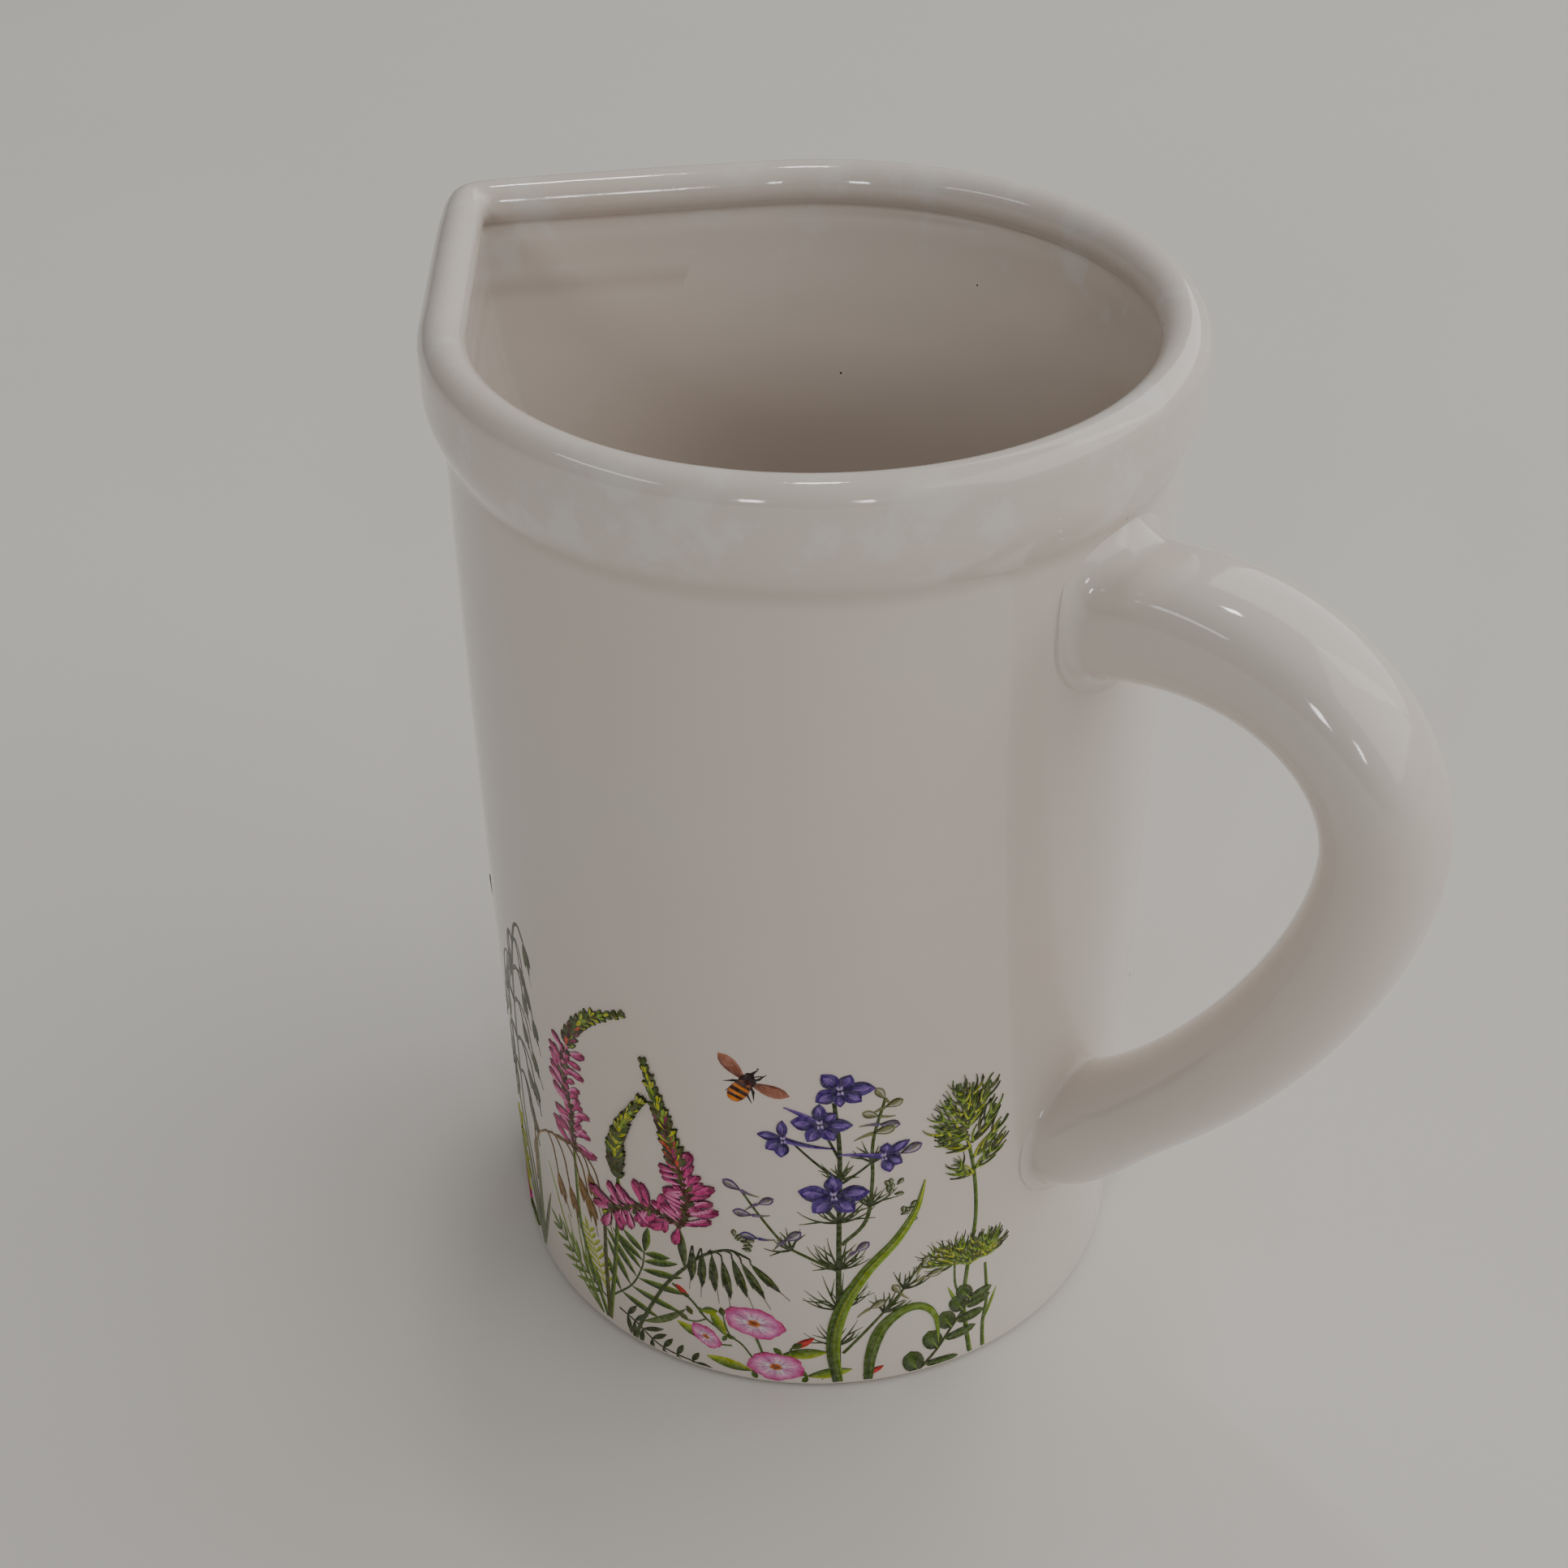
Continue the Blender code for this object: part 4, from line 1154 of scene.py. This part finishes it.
def draw_golden_oat(p):
    arch = [(-126, 22), (-124.5, 32), (-121, 39), (-116, 43), (-110, 45)]
    path = p.stem(arch, 0.5, "husk", "straw", ("bark", "straw"))
    for t, reach, drop, size in ((0.5, -3, 4, 0.8), (0.6, 5, 7, 0.95), (0.7, 7, 9, 0.95), (0.82, 8, 5, 1),
                                 (0.92, 8, 9, 0.95), (1, 7, 3, 0.95), (1, 10, 7, 0.9)):
        hanging(p, along(path, t)[0], reach, 1.6, drop, size, "husk", "straw", 1.3)


def draw_tall_oat(p):
    arch = [(-127, 3), (-127.5, 20), (-130, 36), (-129, 54), (-126.5, 74), (-123, 88), (-120.5, 91),
            (-118.5, 88.5)]
    path = p.stem(arch, 1.1, "reed", "reed", ("ivy", "rush"))
    spikelet(p, path[-1], -78, 0.9, "reed", "rush", 1.4)
    for height, reach in ((84, 4), (77, 7.5), (68, 8), (57, 8.5), (47, 7)):
        point = min(path, key=lambda q: abs(q[1] - height))
        for share, drop in ((1, 5), (0.62, 2.5), (-0.85, 5.5), (-0.5, 2)):
            hanging(p, point, reach * share * (1 + p.vary(0.15)), 2.2, drop * (1 + p.vary(0.4)), 0.76,
                    "reed", "rush", 1.4)
    tips = (((-134, 40), 2.4), ((-123, 36), 2.2), ((-137, 26), 2), ((-119, 24), 1.8))
    tuft(p, (-127, 3), 0, 0.55, tips, "sage", "celadon", ("ivy", "celadon"))


def draw_far_meadow(p):
    """The stretch between the tall oat and the spout's side, out of sight from the handle's front."""
    p.stem([(-150, 2), (-149, 24), (-151, 44), (-150, 58)], 0.8, "leaf")
    pea_spike(p, [(-150, 50), (-150.5, 62), (-148, 76), (-143, 86)], 10, 12, 0.9)
    greens = ("stem", "leaf", "sap", "pine", "lime")
    pinnate(p, [(-149, 10), (-142, 16), (-138, 26)], 7, 7.5, 1.5, greens, 56)
    pinnate(p, [(-150, 12), (-158, 20), (-161, 31)], 7, 7, 1.4, greens, 56)
    pinnate(p, [(-166, 3), (-158, 4), (-149, 7)], 9, 5, 1.3, DARK_FERN, 60)
    main = p.stem([(-172, 2), (-172, 24), (-171, 44), (-170, 60)], 0.8)
    for t in (0.2, 0.4, 0.62):
        needle_pair(p, main, t, 45, 5, 8, 80)
    front = ((92, 4.4, 2.8), (168, 5.6, 3.2), (12, 5.6, 3.2), (-125, 4.8, 3), (-55, 4.8, 3))
    larkspur_flower(p, (-170, 61), 0.95, front, 80, 6)
    larkspur_flower(p, (-173, 48), 0.85, front[1:], 120, 7)
    larkspur_flower(p, (-167, 71), 0.85, front[:4], 40, 6)
    for start, heading in (((-169, 76), 100), ((-166, 78), 60), ((-171, 74), 140)):
        spurred_bud(p, start, heading, 0.8, "bud")
    trumpet(p, (-143, 6.5), (5.2, 3.8), 8, 0.4)
    trumpet(p, (-157, 9.5), (4.8, 3.4), -12, 1.1)
    arrow_leaf(p, (-138, 4.5), 10, 8, 2.4)
    arrow_leaf(p, (-161, 8), 170, 7.5, 2.4)
    tips = (((-181, 34), 1.6), ((-178, 46), 2), ((-183, 22), 1.2))
    tuft(p, (-176, 2), 1, 0.5, tips, *GRASS_BLADE)


def draw_bee(p):
    """A brown bee with banded tail, four wings seen as two, six legs and two feelers."""
    body, tail_way = (-67.3, 80), 236
    for heading, length, turn in ((70, 2.6, -24), (180, 3, 14), (205, 3.4, 22), (22, 3, 20),
                                  (-62, 3.2, -26), (-92, 3.6, 24)):
        knee = bent(body, heading, length * 0.75, 0, 2)[-1]
        p.stroke(bent(body, heading, length * 0.85, 0, 3), 0.75, even, "soot")
        p.bristle(knee, heading + turn, length * 0.7, 0.55, "soot")
    for heading, bend in ((75, -30), (28, -28)):
        p.bristle((-66.3, 81.2), heading, 2.2, 0.26, "soot", "umber", bend, even)
    for heading, length in ((127, 7.8), (-22, 8)):
        p.leaf(body, heading, length, 2.9, "tan", "wing", ("tan", "wing"), 6, petal)
        p.leaf(body, heading + 5, length * 0.8, 0.9, "tan", "wing", None, 6, petal)
        for turn in (-7, 6, 12):
            p.bristle(body, heading + turn, length * 0.7, 0.12, "umber", "tan")
    steps = 24
    bands = [INKS["soot" if int(i / (steps + 1) * 7.5) % 2 else "amber"] for i in range(steps + 1)]
    edges = [blend(band, INKS["rust"], 0.45) for band in bands]
    widths = [max(1.75 * oval(i / steps) ** 0.8, 0.05) for i in range(steps + 1)]
    p.strip(bent(body, tail_way, 5.6, 8, steps), widths, bands, edges, edges)
    p.leaf(ahead(body, tail_way, 1.6), 56, 3.6, 3.1, "soot", "umber", ("umber", "soot"), 0, oval)
    for i in range(14):
        p.bristle(ahead(body, tail_way, 0.3), i * 26 + p.vary(8), 1.5, 0.35, "umber", "rust")
    p.leaf((-67.4, 80.6), 50, 1.9, 1.9, "soot", "umber", ("umber", "soot"), 0, oval)


PLANTS = (
    # name, drawing, extra lift in mm over the plants behind, CAD transfer that it stands for
    ("tall_oat", draw_tall_oat, 0.00, "flower_transfer_"),
    ("golden_oat", draw_golden_oat, 0.06, None),
    ("ferns", draw_ferns, 0.00, None),
    ("pink_spikes", draw_pink_spikes, 0.04, None),
    ("dark_oat", draw_dark_oat, 0.06, None),
    ("larkspur", draw_larkspur, 0.02, None),
    ("feather_grass", draw_feather_grass, 0.02, None),
    ("oval_sprig", draw_oval_sprig, 0.12, None),
    ("grass_blades", draw_grass_blades, 0.2, None),
    ("bindweed", draw_bindweed, 0.12, None),
    ("far_meadow", draw_far_meadow, 0.00, None),
    ("bee", draw_bee, 0.00, "bee_transfer_"),
)
# mm that the back print stands further from the handle than the front one, and two of its plants more
BACK_SHIFT = -4
BACK_SLIDES = {"feather_grass": -18, "oval_sprig": -10}


def build_print():
    pieces = []
    for side, mirror, seed in (("front", 1, 1), ("back", -1, 21)):
        for number, (name, draw, lift, node) in enumerate(PLANTS):
            slide = BACK_SLIDES.get(name, BACK_SHIFT) if mirror < 0 else 0
            plant = Plant(mirror, seed + number, lift, slide)
            draw(plant)
            piece = plant.finish(f"print_{name}_{side}")
            if node:
                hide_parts(node + side)
            pieces.append(piece)
    return pieces


# ---- Stage, light and camera ----

FLOOR_REACH = 6.0
FLOOR_DROP = 0.00005               # keeps the ground clear of the foot's flat underside
WINDOW_WAY = (0.44, 0.72, 0.54)    # the room is brightest in this direction
ROOM_STRENGTH = (0.04, 0.66)       # away from the window and towards it
LIGHT_AIM = (0.0, 0.0, 0.12)
LIGHTS = (
    # name, place, width and height, power in watts, colour
    ("soft_right", (2.4, 1.3, 2.2), (3.6, 3.0), 33.0, (1.0, 0.97, 0.93)),
    ("soft_behind", (0.3, 2.8, 2.0), (3.4, 2.4), 27.0, (0.97, 0.98, 1.0)),
    ("lamp_above", (-0.30, 0.36, 2.0), (0.16, 0.16), 2.4, (1.0, 1.0, 1.0)),
    ("window_front", (0.72, -1.78, 0.90), (0.19, 0.33), 3.7, (1.0, 1.0, 1.0)),
    ("window_left", (-0.90, -1.60, 1.75), (1.20, 0.19), 2.9, (1.0, 1.0, 1.0)),
    ("window_right", (1.50, -1.17, 0.90), (0.14, 0.30), 2.2, (1.0, 1.0, 1.0)),
)
CAMERA_LENS = 57.8                 # mm, on a sensor 36 mm wide
CAMERA_PLACE = (0.2264, -0.3042, 0.3764)
CAMERA_TURN = (54.83, 0.54, 39.48)


def build_floor():
    """A plain pale ground that runs out of view."""
    mesh = bpy.data.meshes.new("studio_floor")
    work = bmesh.new()
    bmesh.ops.create_grid(work, x_segments=1, y_segments=1, size=FLOOR_REACH)
    work.to_mesh(mesh)
    work.free()
    nodes = Nodes("pale_floor")
    cloth = nodes.noise(nodes.place(), 6.0, 3.0)
    nodes.settle(Base_Color=nodes.mix(cloth, GROUND_DARK, GROUND_LIGHT), Roughness=0.85)
    mesh.materials.append(nodes.material)
    floor = bpy.data.objects.new("studio_floor", mesh)
    floor.location.z = -FLOOR_DROP
    bpy.context.scene.collection.objects.link(floor)


def add_light(name, place, size, power, colour):
    """A rectangular soft light, size metres wide and high, that faces the pitcher."""
    data = bpy.data.lights.new(name, "AREA")
    data.shape = "RECTANGLE"
    data.size, data.size_y = size
    data.energy = power
    data.color = colour
    light = bpy.data.objects.new(name, data)
    light.location = place
    light.rotation_mode = "QUATERNION"
    light.rotation_quaternion = (Vector(LIGHT_AIM) - Vector(place)).to_track_quat("-Z", "Y")
    bpy.context.scene.collection.objects.link(light)


def build_room():
    """Dim light from all round, brighter towards the room's big window."""
    world = bpy.data.worlds.new("soft_room")
    world.use_nodes = True
    tree = world.node_tree
    background = tree.nodes["Background"]
    background.inputs["Color"].default_value = (*ROOM_LIGHT, 1.0)
    toward = tree.nodes.new("ShaderNodeVectorMath")
    toward.operation = "DOT_PRODUCT"
    toward.inputs[1].default_value = WINDOW_WAY
    sky = tree.nodes.new("ShaderNodeTexCoord")
    glow = tree.nodes.new("ShaderNodeMapRange")
    glow.interpolation_type = "SMOOTHSTEP"
    for socket, value in zip(glow.inputs[1:5], (-0.5, 1.0, *ROOM_STRENGTH)):
        socket.default_value = value
    tree.links.new(sky.outputs["Generated"], toward.inputs[0])
    tree.links.new(toward.outputs["Value"], glow.inputs[0])
    tree.links.new(glow.outputs[0], background.inputs["Strength"])
    bpy.context.scene.world = world


def build_camera():
    data = bpy.data.cameras.new("camera")
    data.lens = CAMERA_LENS
    data.sensor_width = 36.0
    data.clip_start = 0.01
    camera = bpy.data.objects.new("camera", data)
    camera.location = CAMERA_PLACE
    camera.rotation_euler = [radians(turn) for turn in CAMERA_TURN]
    bpy.context.scene.collection.objects.link(camera)
    bpy.context.scene.camera = camera


# ---- Assembly ----

build_camera()
build_room()
for light in LIGHTS:
    add_light(*light)
build_floor()

body = build_body()
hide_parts("barrel_wall", "floor_disc", "rim_band")
handle = build_handle()
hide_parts("handle", "upper_handle_joint", "lower_handle_joint")
foot = build_foot()
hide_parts("foot_ring")
for made in [body, handle, foot] + build_print():
    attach(made, "root")
